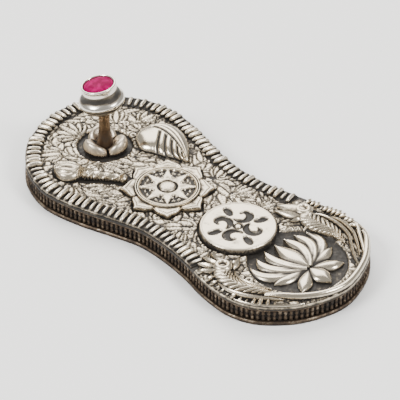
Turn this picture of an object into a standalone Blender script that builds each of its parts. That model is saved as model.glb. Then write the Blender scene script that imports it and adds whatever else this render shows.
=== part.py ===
"""A small cast-silver toe knob sandal: reeded sole, roped border, relief ornament and a stone-set knob.

Metres, +Z up, toe towards +Y, big-toe side at +X. The origin is at the middle of the sole's underside.
"""
import math
from collections import namedtuple

import bmesh
import bpy
from mathutils import Matrix, Vector

# Sizes of the sole
LENGTH = 0.0880
BALL_WIDTH = 0.0406
WAIST_WIDTH = 0.0302
HEEL_WIDTH = 0.0374
SOLE_THICKNESS = 0.0037
LIP_HEIGHT = 0.0009
LIP_PROUD = 0.0002
REED_PITCH = 0.00115
REED_DEPTH = 0.00035
REED_SETBACK = 0.0003
FOOTBED_THICKNESS = 0.0008

# Clearances between neighbouring pieces
SEAM = 0.0003
MOTIF_GAP = 0.0006

# Roped border and heel rim
BORDER_WIDTH = 0.0034
BORDER_HEIGHT = 0.00065
BORDER_INSET = 0.00015
RIDGE_PITCH = 0.0019
VALLEY_HEIGHT = 0.00015
RIM_WIDTH = 0.0012
RIM_HEIGHT = 0.0009

# Sun medallion and round disc
SUN_REACH = 0.0101
SUN_THICKNESS = 0.00055
SUN_PETALS = 8
WHEEL_RADIUS = 0.0070
WHEEL_THICKNESS = 0.00085
HUB_RADIUS = 0.0022
DISC_RADIUS = 0.0082
DISC_THICKNESS = 0.0009
MEDALLION_SPACE = 0.0020

# Lotus and its pit
PIT_RADIUS = 0.0106
PIT_FROM_HEEL = 0.0134
LOTUS_FROM_HEEL = 0.0101
LOTUS_THICKNESS = 0.0016

# Birds, conch and mace
BIRD_HEIGHT = 0.0010
BIRD_WIDTH = 0.0047
CONCH_LENGTH = 0.0150
CONCH_WIDTH = 0.0112
CONCH_HEIGHT = 0.0023
MACE_HEAD_RADIUS = 0.0033
MACE_LENGTH = 0.0162
MACE_HANDLE_WIDTH = 0.0022
MACE_HEIGHT = 0.0016

# Toe knob
KNOB_FROM_TOE = 0.0168
RECESS_RADIUS = 0.0062
CUP_RADIUS = 0.0050
CUP_HEIGHT = 0.0034
STEM_RADIUS = 0.00125
STEM_HEIGHT = 0.0095
HEAD_RADIUS = 0.0051
HEAD_HEIGHT = 0.0053
HEAD_LEAN = math.radians(10.0)
LEAN_HEADING = math.radians(120.0)
BEZEL_WALL = 0.00035
BEZEL_HEIGHT = 0.0012
STONE_RADIUS = 0.0032
STONE_DOME = 0.0005

# Levels that follow from the sizes
FOOTBED_BOTTOM = SOLE_THICKNESS + SEAM
FOOTBED_TOP = FOOTBED_BOTTOM + FOOTBED_THICKNESS
RELIEF_BASE = FOOTBED_TOP + SEAM

# Sections of the sole's outline, from heel to toe. along is a share of LENGTH, left and right are
# shares of the width of the section's zone.
Section = namedtuple("Section", "zone along left right")
ZONE_WIDTH = {"heel": HEEL_WIDTH, "waist": WAIST_WIDTH, "ball": BALL_WIDTH}
OUTLINE_SECTIONS = (
    Section("heel", -0.472, 0.219, 0.265),
    Section("heel", -0.432, 0.350, 0.401),
    Section("heel", -0.386, 0.439, 0.492),
    Section("heel", -0.324, 0.484, 0.516),
    Section("heel", -0.239, 0.471, 0.489),
    Section("waist", -0.159, 0.530, 0.553),
    Section("waist", -0.080, 0.500, 0.510),
    Section("waist", 0.000, 0.500, 0.500),
    Section("waist", 0.080, 0.560, 0.540),
    Section("ball", 0.170, 0.475, 0.453),
    Section("ball", 0.273, 0.505, 0.493),
    Section("ball", 0.355, 0.456, 0.473),
    Section("ball", 0.411, 0.374, 0.416),
    Section("ball", 0.466, 0.229, 0.305),
)
HEEL_TIP = Section("heel", -0.500, -0.029, 0.029)
TOE_TIP = Section("ball", 0.500, -0.052, 0.052)

SILVER = (0.78, 0.75, 0.70, 1.0)
DARK_SILVER = (0.20, 0.18, 0.16, 1.0)
RUBY = (0.55, 0.01, 0.12, 1.0)


# Scene, materials and mesh helpers

def clear_scene():
    """Removes every object."""
    for item in list(bpy.data.objects):
        bpy.data.objects.remove(item, do_unlink=True)


def make_collection(name):
    """Adds a collection to the scene."""
    group = bpy.data.collections.new(name)
    bpy.context.scene.collection.children.link(group)
    return group


def make_material(name, colour, roughness, metallic):
    """Makes a Principled material."""
    material = bpy.data.materials.new(name)
    material.use_nodes = True
    shader = material.node_tree.nodes["Principled BSDF"]
    shader.inputs["Base Color"].default_value = colour
    shader.inputs["Roughness"].default_value = roughness
    shader.inputs["Metallic"].default_value = metallic
    material.diffuse_color = colour
    return material


def add_object(name, mesh, colour=SILVER, roughness=0.35, metallic=1.0):
    """Links a mesh as a named part with its own material."""
    item = bpy.data.objects.new(name, mesh)
    PARTS.objects.link(item)
    mesh.materials.append(make_material(name, colour, roughness, metallic))
    return item


def mesh_from_rings(name, rings, joined=False):
    """Lofts closed rings of equal counts. The ends are capped, or the last ring meets the first."""
    build = bmesh.new()
    rows = [[build.verts.new(point) for point in ring] for ring in rings]
    count = len(rows[0])
    pairs = list(zip(rows, rows[1:]))
    if joined:
        pairs.append((rows[-1], rows[0]))
    for lower, upper in pairs:
        for index in range(count):
            following = (index + 1) % count
            build.faces.new((lower[index], lower[following], upper[following], upper[index]))
    if not joined:
        build.faces.new(rows[0])
        build.faces.new(rows[-1])
    bmesh.ops.recalc_face_normals(build, faces=build.faces)
    mesh = bpy.data.meshes.new(name)
    build.to_mesh(mesh)
    build.free()
    return mesh


def loft(name, rings, joined=False, **finish):
    """Makes a part from lofted rings."""
    return add_object(name, mesh_from_rings(name, rings, joined), **finish)


def flat_slab(name, points, bottom, thickness):
    """Makes a mesh slab from a flat outline, as a filled curve of half its thickness each way."""
    curve = bpy.data.curves.new(name, "CURVE")
    curve.dimensions = "2D"
    curve.fill_mode = "BOTH"
    curve.extrude = thickness / 2
    spline = curve.splines.new("POLY")
    spline.points.add(len(points) - 1)
    for point, (x, y) in zip(spline.points, points):
        point.co = (x, y, 0.0, 1.0)
    spline.use_cyclic_u = True
    source = bpy.data.objects.new(name, curve)
    PARTS.objects.link(source)
    view = bpy.context.evaluated_depsgraph_get()
    mesh = bpy.data.meshes.new_from_object(source.evaluated_get(view))
    mesh.transform(Matrix.Translation((0.0, 0.0, bottom + thickness / 2)))
    bpy.data.objects.remove(source, do_unlink=True)
    build = bmesh.new()
    build.from_mesh(mesh)
    bmesh.ops.remove_doubles(build, verts=build.verts, dist=1e-7)
    bmesh.ops.recalc_face_normals(build, faces=build.faces)
    build.to_mesh(mesh)
    build.free()
    return mesh


def turned(name, profile, steps, **finish):
    """Turns a profile of (radius, height) points, top to bottom, about Z with a Screw modifier."""
    mesh = bpy.data.meshes.new(name)
    points = [(radius, 0.0, height) for radius, height in profile]
    edges = [(index, index + 1) for index in range(len(points) - 1)]
    mesh.from_pydata(points, edges, [])
    item = add_object(name, mesh, **finish)
    screw = item.modifiers.new("turn", "SCREW")
    screw.angle = math.tau
    screw.steps = steps
    screw.render_steps = steps
    screw.use_merge_vertices = True
    screw.merge_threshold = 1e-6
    screw.use_smooth_shade = True
    return item


def cut(target, tool, operation="DIFFERENCE"):
    """Cuts a tool from a target, or joins it on, and keeps the tool out of the model."""
    for group in list(tool.users_collection):
        group.objects.unlink(tool)
    CUTTERS.objects.link(tool)
    tool.hide_render = True
    tool.display_type = "WIRE"
    boolean = target.modifiers.new(tool.name, "BOOLEAN")
    boolean.operation = operation
    boolean.solver = "EXACT"
    boolean.object = tool


def round_cutter(name, x, y, radius, bottom, top, sides=40):
    """Adds a cylinder to cut with."""
    bpy.ops.mesh.primitive_cylinder_add(vertices=sides, radius=radius, depth=top - bottom,
                                        location=(x, y, (bottom + top) / 2))
    tool = bpy.context.object
    tool.name = name
    return tool


# The sole's outline

def through(points, per_span):
    """Samples a closed centripetal Catmull-Rom curve through flat points."""
    result = []
    count = len(points)
    for index in range(count):
        four = [Vector(points[(index + step) % count]) for step in (-1, 0, 1, 2)]
        knots = [0.0]
        for first, second in zip(four, four[1:]):
            knots.append(knots[-1] + math.sqrt((second - first).length))
        for step in range(per_span):
            t = knots[1] + (knots[2] - knots[1]) * step / per_span
            level = four
            for order in (1, 2, 3):
                blended = []
                for k in range(len(level) - 1):
                    low = knots[k] if order < 3 else knots[1]
                    high = knots[k + order] if order < 3 else knots[2]
                    share = (t - low) / (high - low)
                    blended.append(level[k].lerp(level[k + 1], share))
                level = blended
            result.append(level[0])
    return result


def section_point(section, side):
    """Gives a section's point on the left (-1) or right (+1) side."""
    share = section.right if side > 0 else section.left
    return (side * share * ZONE_WIDTH[section.zone], section.along * LENGTH)


def outline_samples():
    """Gives the outline from the heel's tip up the right side, round the toe and back, centred on X."""
    points = [section_point(HEEL_TIP, 1)]
    points += [section_point(section, 1) for section in OUTLINE_SECTIONS]
    points += [section_point(TOE_TIP, 1)]
    points += [section_point(section, -1) for section in reversed(OUTLINE_SECTIONS)]
    curve = through(points, 24)
    low = min(point.x for point in curve)
    high = max(point.x for point in curve)
    base = min(point.y for point in curve)
    top = max(point.y for point in curve)
    shift = Vector(((low + high) / 2, (base + top) / 2))
    return [point - shift for point in curve]


class Outline:
    """The sole's edge, read by its share of the way round from the heel's tip."""

    def __init__(self):
        self.points = outline_samples()
        self.travel = [0.0]
        closed = self.points + [self.points[0]]
        for first, second in zip(closed, closed[1:]):
            self.travel.append(self.travel[-1] + (second - first).length)
        self.length = self.travel[-1]

    def at(self, share, inset=0.0):
        """Gives the point at a share of the way round, moved inwards by inset."""
        distance = (share % 1.0) * self.length
        low, high = 0, len(self.travel) - 1
        while high - low > 1:
            middle = (low + high) // 2
            if self.travel[middle] <= distance:
                low = middle
            else:
                high = middle
        count = len(self.points)
        first, second = self.points[low % count], self.points[high % count]
        blend = (distance - self.travel[low]) / (self.travel[high] - self.travel[low])
        ahead, behind = self.points[(low + 2) % count], self.points[(low - 1) % count]
        along = (ahead - behind).normalized()
        inwards = Vector((-along.y, along.x))
        return first.lerp(second, blend) + inwards * inset

    def share_at(self, along, side, inset=0.0):
        """Gives the share of the way round where one side, moved inwards by inset, passes a height y."""
        steps = 720
        shares = [step / (2 * steps) for step in range(steps + 1)]
        if side < 0:
            shares = [1.0 - share for share in shares]
        return min(shares, key=lambda share: abs(self.at(share, inset).y - along))

    def edge_x(self, along, side):
        """Gives the edge's x on one side at a height y."""
        return self.at(self.share_at(along, side)).x


def ring_at(height, inset, count):
    """Gives a closed ring of the outline at one height. inset is a length or a function of the step."""
    ring = []
    for step in range(count):
        depth = inset(step) if callable(inset) else inset
        point = OUTLINE.at(step / count, depth)
        ring.append((point.x, point.y, height))
    return ring


# Sole, footbed and borders

def build_sole():
    """One solid: flat underside, thin proud lip and a reeded wall."""
    reeds = round(OUTLINE.length / REED_PITCH)
    count = 2 * reeds

    def reed(step):
        return REED_SETBACK + (REED_DEPTH if step % 2 else 0.0)

    rings = [
        ring_at(0.0, -LIP_PROUD, count),
        ring_at(LIP_HEIGHT, -LIP_PROUD, count),
        ring_at(LIP_HEIGHT, reed, count),
        ring_at(SOLE_THICKNESS, reed, count),
    ]
    return loft("sole", rings, colour=DARK_SILVER, roughness=0.5)


def build_footbed():
    """The top plate with its two windows."""
    edge = [OUTLINE.at(step / 132) for step in range(132)]
    slab = flat_slab("footbed", [(point.x, point.y) for point in edge], FOOTBED_BOTTOM, FOOTBED_THICKNESS)
    footbed = add_object("footbed", slab, colour=SILVER, roughness=0.4)
    below, above = FOOTBED_BOTTOM - FOOTBED_THICKNESS, FOOTBED_TOP + FOOTBED_THICKNESS
    knob_x, knob_y = knob_centre()
    pit_x, pit_y = pit_centre()
    cut(footbed, round_cutter("knob_window", knob_x, knob_y, RECESS_RADIUS, below, above))
    cut(footbed, round_cutter("lotus_window", pit_x, pit_y, PIT_RADIUS, below, above))
    return footbed


def strip(name, stations, **finish):
    """Sweeps flat-bottomed sections. A station is (share, inset, width, (height, ...)) with heights from
    the outer edge to the inner edge."""
    rings = []
    for share, inset, width, heights in stations:
        outer, inner = OUTLINE.at(share, inset), OUTLINE.at(share, inset + width)
        ring = [(outer.x, outer.y, RELIEF_BASE)]
        for index, height in enumerate(heights):
            point = outer.lerp(inner, index / (len(heights) - 1))
            ring.append((point.x, point.y, RELIEF_BASE + height))
        ring.append((inner.x, inner.y, RELIEF_BASE))
        rings.append(ring)
    return loft(name, rings, **finish)


# where the border's inner edge ends above each bird's head, in bird widths
BORDER_ABOVE_HEAD = {1: 0.93, -1: 0.71}


def build_border():
    """The roped border: one strip with a ridge at each pitch, sloping down to the edge."""
    inner = BORDER_INSET + BORDER_WIDTH
    start = OUTLINE.share_at(bird_place(1)[1] + BORDER_ABOVE_HEAD[1] * BIRD_WIDTH, 1, inner)
    end = OUTLINE.share_at(bird_place(-1)[1] + BORDER_ABOVE_HEAD[-1] * BIRD_WIDTH, -1, inner)
    ridges = round((end - start) * OUTLINE.length / RIDGE_PITCH)
    crest = (0.45 * BORDER_HEIGHT, BORDER_HEIGHT, 0.85 * BORDER_HEIGHT)
    valley = (VALLEY_HEIGHT, 1.6 * VALLEY_HEIGHT, VALLEY_HEIGHT)
    stations = []
    for step in range(2 * ridges + 1):
        share = start + (end - start) * step / (2 * ridges)
        stations.append((share, BORDER_INSET, BORDER_WIDTH, crest if step % 2 else valley))
    return strip("rope_border", stations, colour=SILVER, roughness=0.3)


RimStation = namedtuple("RimStation", "turn inset")
# turn runs from 0 at the right bird to 1 at the left one, inset is in rim widths
RIM_STATIONS = (
    RimStation(0.00, 0.25),
    RimStation(0.25, 0.25),
    RimStation(0.50, 0.25),
    RimStation(0.66, 0.55),
    RimStation(0.82, 1.60),
    RimStation(1.00, 2.90),
)


# where the rim ends below each bird's head, in bird widths
RIM_BELOW_HEAD = {1: 2.845, -1: 3.275}


def rim_inset(turn):
    """Gives the rim's inset at a turn, eased between the rows of its table."""
    for first, second in zip(RIM_STATIONS, RIM_STATIONS[1:]):
        if turn <= second.turn:
            share = (turn - first.turn) / (second.turn - first.turn)
            eased = share * share * (3.0 - 2.0 * share)
            return RIM_WIDTH * (first.inset + (second.inset - first.inset) * eased)
    return RIM_WIDTH * RIM_STATIONS[-1].inset


def build_heel_rim():
    """The smooth half-round band round the heel, leaving the edge on the left."""
    right = OUTLINE.share_at(bird_place(1)[1] - RIM_BELOW_HEAD[1] * BIRD_WIDTH, 1)
    left = OUTLINE.share_at(bird_place(-1)[1] - RIM_BELOW_HEAD[-1] * BIRD_WIDTH, -1) - 1.0
    stations = []
    count = 44
    for step in range(count + 1):
        turn = step / count
        taper = 0.35 + 0.65 * math.sin(math.pi * min(1.0, 6.0 * min(turn, 1.0 - turn)) / 2)
        heights = [RIM_HEIGHT * taper * rise for rise in (0.35, 0.85, 1.0, 0.85, 0.35)]
        stations.append((right + (left - right) * turn, rim_inset(turn), RIM_WIDTH, heights))
    return strip("heel_rim", stations, colour=SILVER, roughness=0.25)


# Places of the ornament, each worked out from the sizes around it

def knob_centre():
    """Gives the knob's place near the toe's middle."""
    return (0.014 * BALL_WIDTH, LENGTH / 2 - KNOB_FROM_TOE)


def sun_centre():
    """Gives the sun's place at the waist."""
    return (-0.040 * WAIST_WIDTH, 0.065 * LENGTH)


def disc_centre():
    """Gives the disc's place, behind the sun."""
    return (-0.012 * WAIST_WIDTH, sun_centre()[1] - SUN_REACH - DISC_RADIUS - MEDALLION_SPACE)


def pit_centre():
    """Gives the middle of the lotus's pit."""
    return (0.026 * HEEL_WIDTH, -LENGTH / 2 + PIT_FROM_HEEL)


def bird_place(side):
    """Gives the middle of a bird's head, beside the disc's rear half."""
    y = disc_centre()[1] - 0.7255 * DISC_RADIUS
    return (OUTLINE.edge_x(y, side) - side * 1.08 * BIRD_WIDTH, y)


# Sun medallion and round disc

def build_sun():
    """Eight pointed petals with a turned wheel and hub joined on."""
    x, y = sun_centre()
    outline = []
    for petal in range(SUN_PETALS):
        middle = math.tau * petal / SUN_PETALS
        for turn, share in ((-0.5, 0.76), (-0.24, 0.87), (0.0, 1.0), (0.24, 0.87)):
            angle = middle + turn * math.tau / SUN_PETALS
            reach = share * SUN_REACH
            outline.append((x + reach * math.cos(angle), y + reach * math.sin(angle)))
    sun = add_object("sun_medallion", flat_slab("sun", outline, RELIEF_BASE, SUN_THICKNESS), roughness=0.35)
    top = WHEEL_THICKNESS
    groove = 0.5 * (SUN_THICKNESS + WHEEL_THICKNESS)
    profile = (
        (0.0, top + 0.175 * HUB_RADIUS),
        (0.62 * HUB_RADIUS, top + 0.105 * HUB_RADIUS),
        (HUB_RADIUS, top),
        (1.25 * HUB_RADIUS, groove),
        (0.88 * WHEEL_RADIUS, groove),
        (0.91 * WHEEL_RADIUS, top),
        (0.97 * WHEEL_RADIUS, top),
        (WHEEL_RADIUS, 0.8 * SUN_THICKNESS),
        (WHEEL_RADIUS, 0.4 * SUN_THICKNESS),
        (0.0, 0.4 * SUN_THICKNESS),
    )
    wheel = turned("wheel", profile, 32)
    wheel.location = (x, y, RELIEF_BASE)
    cut(sun, wheel, "UNION")
    return sun


def build_disc():
    """The raised round disc with a soft edge."""
    x, y = disc_centre()
    profile = (
        (0.0, DISC_THICKNESS),
        (0.93 * DISC_RADIUS, DISC_THICKNESS),
        (DISC_RADIUS, 0.72 * DISC_THICKNESS),
        (DISC_RADIUS, 0.0),
        (0.0, 0.0),
    )
    disc = turned("round_disc", profile, 44, roughness=0.28)
    disc.location = (x, y, RELIEF_BASE)
    return disc


# Lotus

LotusPetal = namedtuple("LotusPetal", "heading reach width height bow")
# heading in degrees from the toe's direction. reach is a share of the middle petal's length in the fan
# and of the way to the pit's wall outside it. width and bow are shares of the middle petal's length,
# height is a share of LOTUS_THICKNESS.
LOTUS_FAN = 60.0
LOTUS_PETALS = (
    LotusPetal(0.0, 1.00, 0.38, 1.00, 0.00),
    LotusPetal(14.0, 1.01, 0.25, 0.88, 0.04),
    LotusPetal(27.0, 1.04, 0.24, 0.76, 0.07),
    LotusPetal(41.0, 1.07, 0.22, 0.64, 0.10),
    LotusPetal(79.0, 0.864, 0.27, 0.70, 0.05),
    LotusPetal(119.0, 0.88, 0.34, 0.76, 0.04),
    LotusPetal(180.0, 0.836, 0.38, 0.94, 0.00),
    LotusPetal(-14.0, 1.01, 0.25, 0.88, -0.04),
    LotusPetal(-27.0, 1.04, 0.24, 0.76, -0.07),
    LotusPetal(-41.0, 1.07, 0.22, 0.64, -0.10),
    LotusPetal(-79.0, 0.864, 0.27, 0.70, -0.05),
    LotusPetal(-119.0, 0.88, 0.34, 0.76, -0.04),
)
# the middle petal's length in pit radii
LOTUS_SHARE = 0.9925
PetalStation = namedtuple("PetalStation", "along width rise")
PETAL_STATIONS = (
    PetalStation(0.04, 0.52, 0.78),
    PetalStation(0.42, 1.00, 1.00),
    PetalStation(0.76, 0.74, 0.90),
    PetalStation(1.00, 0.10, 0.45),
)


def petal_mesh(name, root, heading, reach, width, base, height, bow):
    """Makes one petal: a low crowned leaf from its root outwards, bowed to its right."""
    forward = Vector((math.sin(heading), math.cos(heading)))
    across = Vector((forward.y, -forward.x))
    rings = []
    for station in PETAL_STATIONS:
        middle = root + forward * reach * station.along
        middle += across * bow * math.sin(math.pi * station.along)
        half = across * width * station.width / 2
        ring = []
        for share, rise in ((-1.0, 0.0), (-0.92, 0.45), (0.0, 1.0), (0.92, 0.45), (1.0, 0.0)):
            point = middle + half * share
            ring.append((point.x, point.y, base + height * rise * station.rise))
        rings.append(ring)
    return mesh_from_rings(name, rings)


def lotus_length(root_y):
    """Gives the middle petal's length: it ends at the pit's wall or before the disc, whichever is nearer."""
    before_disc = disc_centre()[1] - DISC_RADIUS - MOTIF_GAP - root_y
    return min(LOTUS_SHARE * PIT_RADIUS, before_disc)


def pit_wall_from(root, heading):
    """Gives the way from the lotus's root to the pit's wall along a heading."""
    ahead = pit_centre()[1] - root.y
    return ahead * math.cos(heading) + math.sqrt(PIT_RADIUS ** 2 - (ahead * math.sin(heading)) ** 2)


def build_lotus():
    """Twelve petals joined to a small seat on the pit's floor."""
    pit_x = pit_centre()[0]
    root = Vector((pit_x, -LENGTH / 2 + LOTUS_FROM_HEEL))
    middle_length = lotus_length(root.y)
    base = FOOTBED_BOTTOM
    seat = (
        (0.0, 0.9 * LOTUS_THICKNESS),
        (0.13 * middle_length, 0.9 * LOTUS_THICKNESS),
        (0.22 * middle_length, 0.35 * LOTUS_THICKNESS),
        (0.22 * middle_length, 0.0),
        (0.0, 0.0),
    )
    lotus = turned("lotus", seat, 12, roughness=0.3)
    lotus.location = (root.x, root.y, base)
    build = bmesh.new()
    for petal in LOTUS_PETALS:
        heading = math.radians(petal.heading)
        room = middle_length if abs(petal.heading) < LOTUS_FAN else pit_wall_from(root, heading)
        mesh = petal_mesh("petal", root, heading, petal.reach * room, petal.width * middle_length, base,
                          petal.height * LOTUS_THICKNESS, petal.bow * middle_length)
        build.from_mesh(mesh)
    petals = bpy.data.meshes.new("lotus_petals")
    build.to_mesh(petals)
    build.free()
    tool = bpy.data.objects.new("lotus_petals", petals)
    CUTTERS.objects.link(tool)
    cut(lotus, tool, "UNION")
    lotus.modifiers[tool.name].use_self = True
    return lotus


# Crowned forms along a spine: birds, conch and mace

def crowned(name, spine, heights, widths, arc=5, **finish):
    """Lofts low crowned sections along a flat spine, closed by their flat underside."""
    rings = []
    for index, point in enumerate(spine):
        ahead = spine[min(index + 1, len(spine) - 1)]
        behind = spine[max(index - 1, 0)]
        along = (ahead - behind).normalized()
        across = Vector((along.y, -along.x))
        ring = []
        for step in range(arc + 2):
            angle = math.pi * step / (arc + 1)
            place = point - across * math.cos(angle) * widths[index] / 2
            lift = 0.0 if step in (0, arc + 1) else heights[index] * math.sin(angle) ** 0.7
            ring.append((place.x, place.y, RELIEF_BASE + lift))
        rings.append(ring)
    return loft(name, rings, **finish)


BirdStation = namedtuple("BirdStation", "down out width height")
# down is in head widths from the head, out is towards the edge in bird widths
BIRD_STATIONS = {
    1: (
        BirdStation(-0.92, -0.30, 0.15, 0.45),
        BirdStation(-0.60, -0.18, 0.45, 0.75),
        BirdStation(-0.28, 0.00, 0.85, 0.95),
        BirdStation(0.00, 0.06, 0.95, 1.00),
        BirdStation(0.34, 0.04, 0.90, 0.90),
        BirdStation(0.80, 0.12, 0.86, 0.95),
        BirdStation(1.35, 0.18, 0.80, 0.95),
        BirdStation(1.95, 0.16, 0.62, 0.85),
        BirdStation(2.45, 0.06, 0.36, 0.70),
        BirdStation(2.75, -0.02, 0.14, 0.50),
    ),
    -1: (
        BirdStation(-0.80, 0.00, 0.15, 0.45),
        BirdStation(-0.50, 0.00, 0.48, 0.75),
        BirdStation(-0.25, -0.02, 0.80, 0.95),
        BirdStation(0.00, 0.00, 0.95, 1.00),
        BirdStation(0.34, 0.04, 0.90, 0.90),
        BirdStation(0.80, 0.12, 0.86, 0.95),
        BirdStation(1.35, 0.16, 0.76, 0.95),
        BirdStation(1.85, 0.12, 0.56, 0.85),
        BirdStation(2.20, 0.06, 0.32, 0.70),
        BirdStation(2.40, 0.02, 0.12, 0.50),
    ),
}


def build_bird(name, side):
    """A bird seen from above, from its crest past the head and breast to the tail."""
    head_x, head_y = bird_place(side)
    spine, heights, widths = [], [], []
    for station in BIRD_STATIONS[side]:
        y = head_y - station.down * BIRD_WIDTH
        follow = OUTLINE.edge_x(y, side) - OUTLINE.edge_x(head_y, side)
        spine.append(Vector((head_x + follow + side * station.out * BIRD_WIDTH, y)))
        heights.append(station.height * BIRD_HEIGHT)
        widths.append(station.width * BIRD_WIDTH)
    bird = crowned(name, spine, heights, widths, roughness=0.32)
    join_head(bird, head_x, head_y, side)
    return bird


def join_head(bird, head_x, head_y, side):
    """Joins a domed head and a short hooked beak that points to the middle of the sole."""
    radius = 0.47 * BIRD_WIDTH
    dome = ((0.0, 1.45), (0.45, 1.3), (0.85, 0.95), (1.0, 0.5), (1.0, 0.1), (0.0, 0.1))
    head = turned(f"{bird.name}_head", [(r * radius, z * BIRD_HEIGHT) for r, z in dome], 14)
    head.location = (head_x, head_y, RELIEF_BASE)
    cut(bird, head, "UNION")
    spine, heights, widths = [], [], []
    for out, drop, width, height in ((0.4, 0.0, 0.9, 1.0), (1.1, 0.05, 0.6, 0.9), (1.65, 0.45, 0.2, 0.6)):
        spine.append(Vector((head_x - side * out * radius, head_y - drop * radius)))
        heights.append(height * BIRD_HEIGHT)
        widths.append(width * radius)
    beak = crowned(f"{bird.name}_beak", spine, heights, widths, arc=3)
    cut(bird, beak, "UNION")


ShellStation = namedtuple("ShellStation", "along out width height")
# along runs from the tip to the crown, out is towards the edge in shell widths
SHELL_RIBS = 6
RIB_DEPTH = 0.07
SHELL_STATIONS = (
    ShellStation(0.00, 0.00, 0.10, 0.28),
    ShellStation(0.12, 0.01, 0.26, 0.45),
    ShellStation(0.28, 0.00, 0.52, 0.66),
    ShellStation(0.44, -0.01, 0.80, 0.85),
    ShellStation(0.60, 0.00, 0.98, 0.98),
    ShellStation(0.74, 0.02, 0.98, 1.00),
    ShellStation(0.87, 0.05, 0.74, 0.80),
    ShellStation(0.96, 0.08, 0.40, 0.50),
    ShellStation(1.00, 0.09, 0.12, 0.25),
)


def shell_section(along):
    """Gives the shell's offset, width and height at a share of its length."""
    for first, second in zip(SHELL_STATIONS, SHELL_STATIONS[1:]):
        if along <= second.along:
            share = (along - first.along) / (second.along - first.along)
            pairs = zip(first[1:], second[1:])
            return [low + (high - low) * share for low, high in pairs]
    return SHELL_STATIONS[-1][1:]


def build_conch():
    """A shell lying point to the heel, its flank beside the border."""
    sun_x, sun_y = sun_centre()
    tip = Vector((sun_x, sun_y)) + Vector((1.02, 0.40)).normalized() * (SUN_REACH + MOTIF_GAP)
    widest = tip.y + 0.67 * CONCH_LENGTH
    flank = OUTLINE.edge_x(widest, 1) - BORDER_INSET - BORDER_WIDTH - MOTIF_GAP
    middle = flank - CONCH_WIDTH / 2
    ribbed = 0.68
    alongs = [ribbed * step / (3 * SHELL_RIBS) for step in range(3 * SHELL_RIBS)]
    alongs += [station.along for station in SHELL_STATIONS if station.along > ribbed]
    spine, heights, widths = [], [], []
    for index, along in enumerate(alongs):
        out, width, height = shell_section(along)
        hollow = RIB_DEPTH if along < ribbed and index % 3 == 0 else 0.0
        x = tip.x + (middle - tip.x) * min(1.0, along / 0.44) + out * CONCH_WIDTH
        spine.append(Vector((x, tip.y + along * CONCH_LENGTH)))
        heights.append(height * (1.0 - 2.0 * hollow) * CONCH_HEIGHT)
        widths.append(width * (1.0 - hollow) * CONCH_WIDTH)
    return crowned("conch", spine, heights, widths, roughness=0.25)


MACE_HEAD_ALONG = 0.80
# the handle's end lies in the valley between two petals of the sun
MACE_HEADING = math.radians(112.5)
MaceStation = namedtuple("MaceStation", "along width height")
# along runs from the handle's end to the head's top, width is in handle widths, then in head widths
MACE_STATIONS = (
    MaceStation(0.00, 0.45, 0.30),
    MaceStation(0.03, 0.67, 0.42),
    MaceStation(0.30, 0.82, 0.48),
    MaceStation(0.56, 1.00, 0.55),
    MaceStation(0.62, 0.46, 0.62),
    MaceStation(0.70, 0.80, 0.85),
    MaceStation(MACE_HEAD_ALONG, 1.00, 1.00),
    MaceStation(0.90, 0.84, 0.90),
    MaceStation(0.97, 0.46, 0.60),
    MaceStation(1.00, 0.15, 0.30),
)


def build_mace():
    """A mace lying beside the border, its handle pointing at the sun."""
    valley = Vector((math.cos(MACE_HEADING), math.sin(MACE_HEADING)))
    start = Vector(sun_centre()) + valley * (SUN_REACH - MOTIF_GAP)
    span = MACE_HEAD_ALONG * MACE_LENGTH
    beside = BORDER_INSET + BORDER_WIDTH + 2.0 * MOTIF_GAP + MACE_HEAD_RADIUS
    low, high = start.y, start.y + span
    for _ in range(24):
        middle = (low + high) / 2
        head = Vector((OUTLINE.edge_x(middle, -1) + beside, middle))
        if (head - start).length < span:
            low = middle
        else:
            high = middle
    forward = (head - start).normalized()
    spine, heights, widths = [], [], []
    for station in MACE_STATIONS:
        spine.append(start + forward * station.along * MACE_LENGTH)
        heights.append(station.height * MACE_HEIGHT)
        whole = MACE_HANDLE_WIDTH if station.along < 0.6 else 2 * MACE_HEAD_RADIUS
        widths.append(station.width * whole)
    return crowned("mace", spine, heights, widths, roughness=0.35)


# Toe knob

CUP_PETALS = 3
CUP_HEADING = math.radians(-64.0)
CupPoint = namedtuple("CupPoint", "reach height swell")
# reach runs from the stem's bore to the cup's radius, swell is how far the petals bulge there
CUP_PROFILE = (
    CupPoint(0.00, 0.00, 0.0),
    CupPoint(0.00, 0.62, 0.0),
    CupPoint(0.30, 0.92, 0.35),
    CupPoint(0.62, 1.00, 0.75),
    CupPoint(0.90, 0.72, 1.0),
    CupPoint(1.00, 0.34, 1.0),
    CupPoint(0.86, 0.00, 0.9),
)


def build_cup():
    """Three swelling petals round the stem's foot, as one ring."""
    x, y = knob_centre()
    bore = 1.5 * STEM_RADIUS + SEAM
    base = FOOTBED_BOTTOM
    count = 42
    rings = []
    for step in range(count):
        angle = CUP_HEADING + math.tau * step / count
        lobe = abs(math.cos(CUP_PETALS * (angle - CUP_HEADING) / 2)) ** 0.7
        ring = []
        for point in CUP_PROFILE:
            pinch = 1.0 - 0.42 * point.swell * (1.0 - lobe)
            reach = bore + (CUP_RADIUS - bore) * point.reach * pinch
            lift = point.height * CUP_HEIGHT * (1.0 - 0.35 * point.swell * (1.0 - lobe))
            ring.append((x + reach * math.cos(angle), y + reach * math.sin(angle), base + lift))
        rings.append(ring)
    return loft("petal_cup", rings, joined=True, roughness=0.25)


def head_frame():
    """Gives the head's place and lean: its own Z runs up from the stem's top."""
    x, y = knob_centre()
    heading = Vector((math.cos(LEAN_HEADING), math.sin(LEAN_HEADING), 0.0))
    axis = Vector((0.0, 0.0, 1.0)).cross(heading)
    lean = Matrix.Rotation(HEAD_LEAN, 4, axis)
    return Matrix.Translation((x, y, FOOTBED_TOP + STEM_HEIGHT)) @ lean


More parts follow.
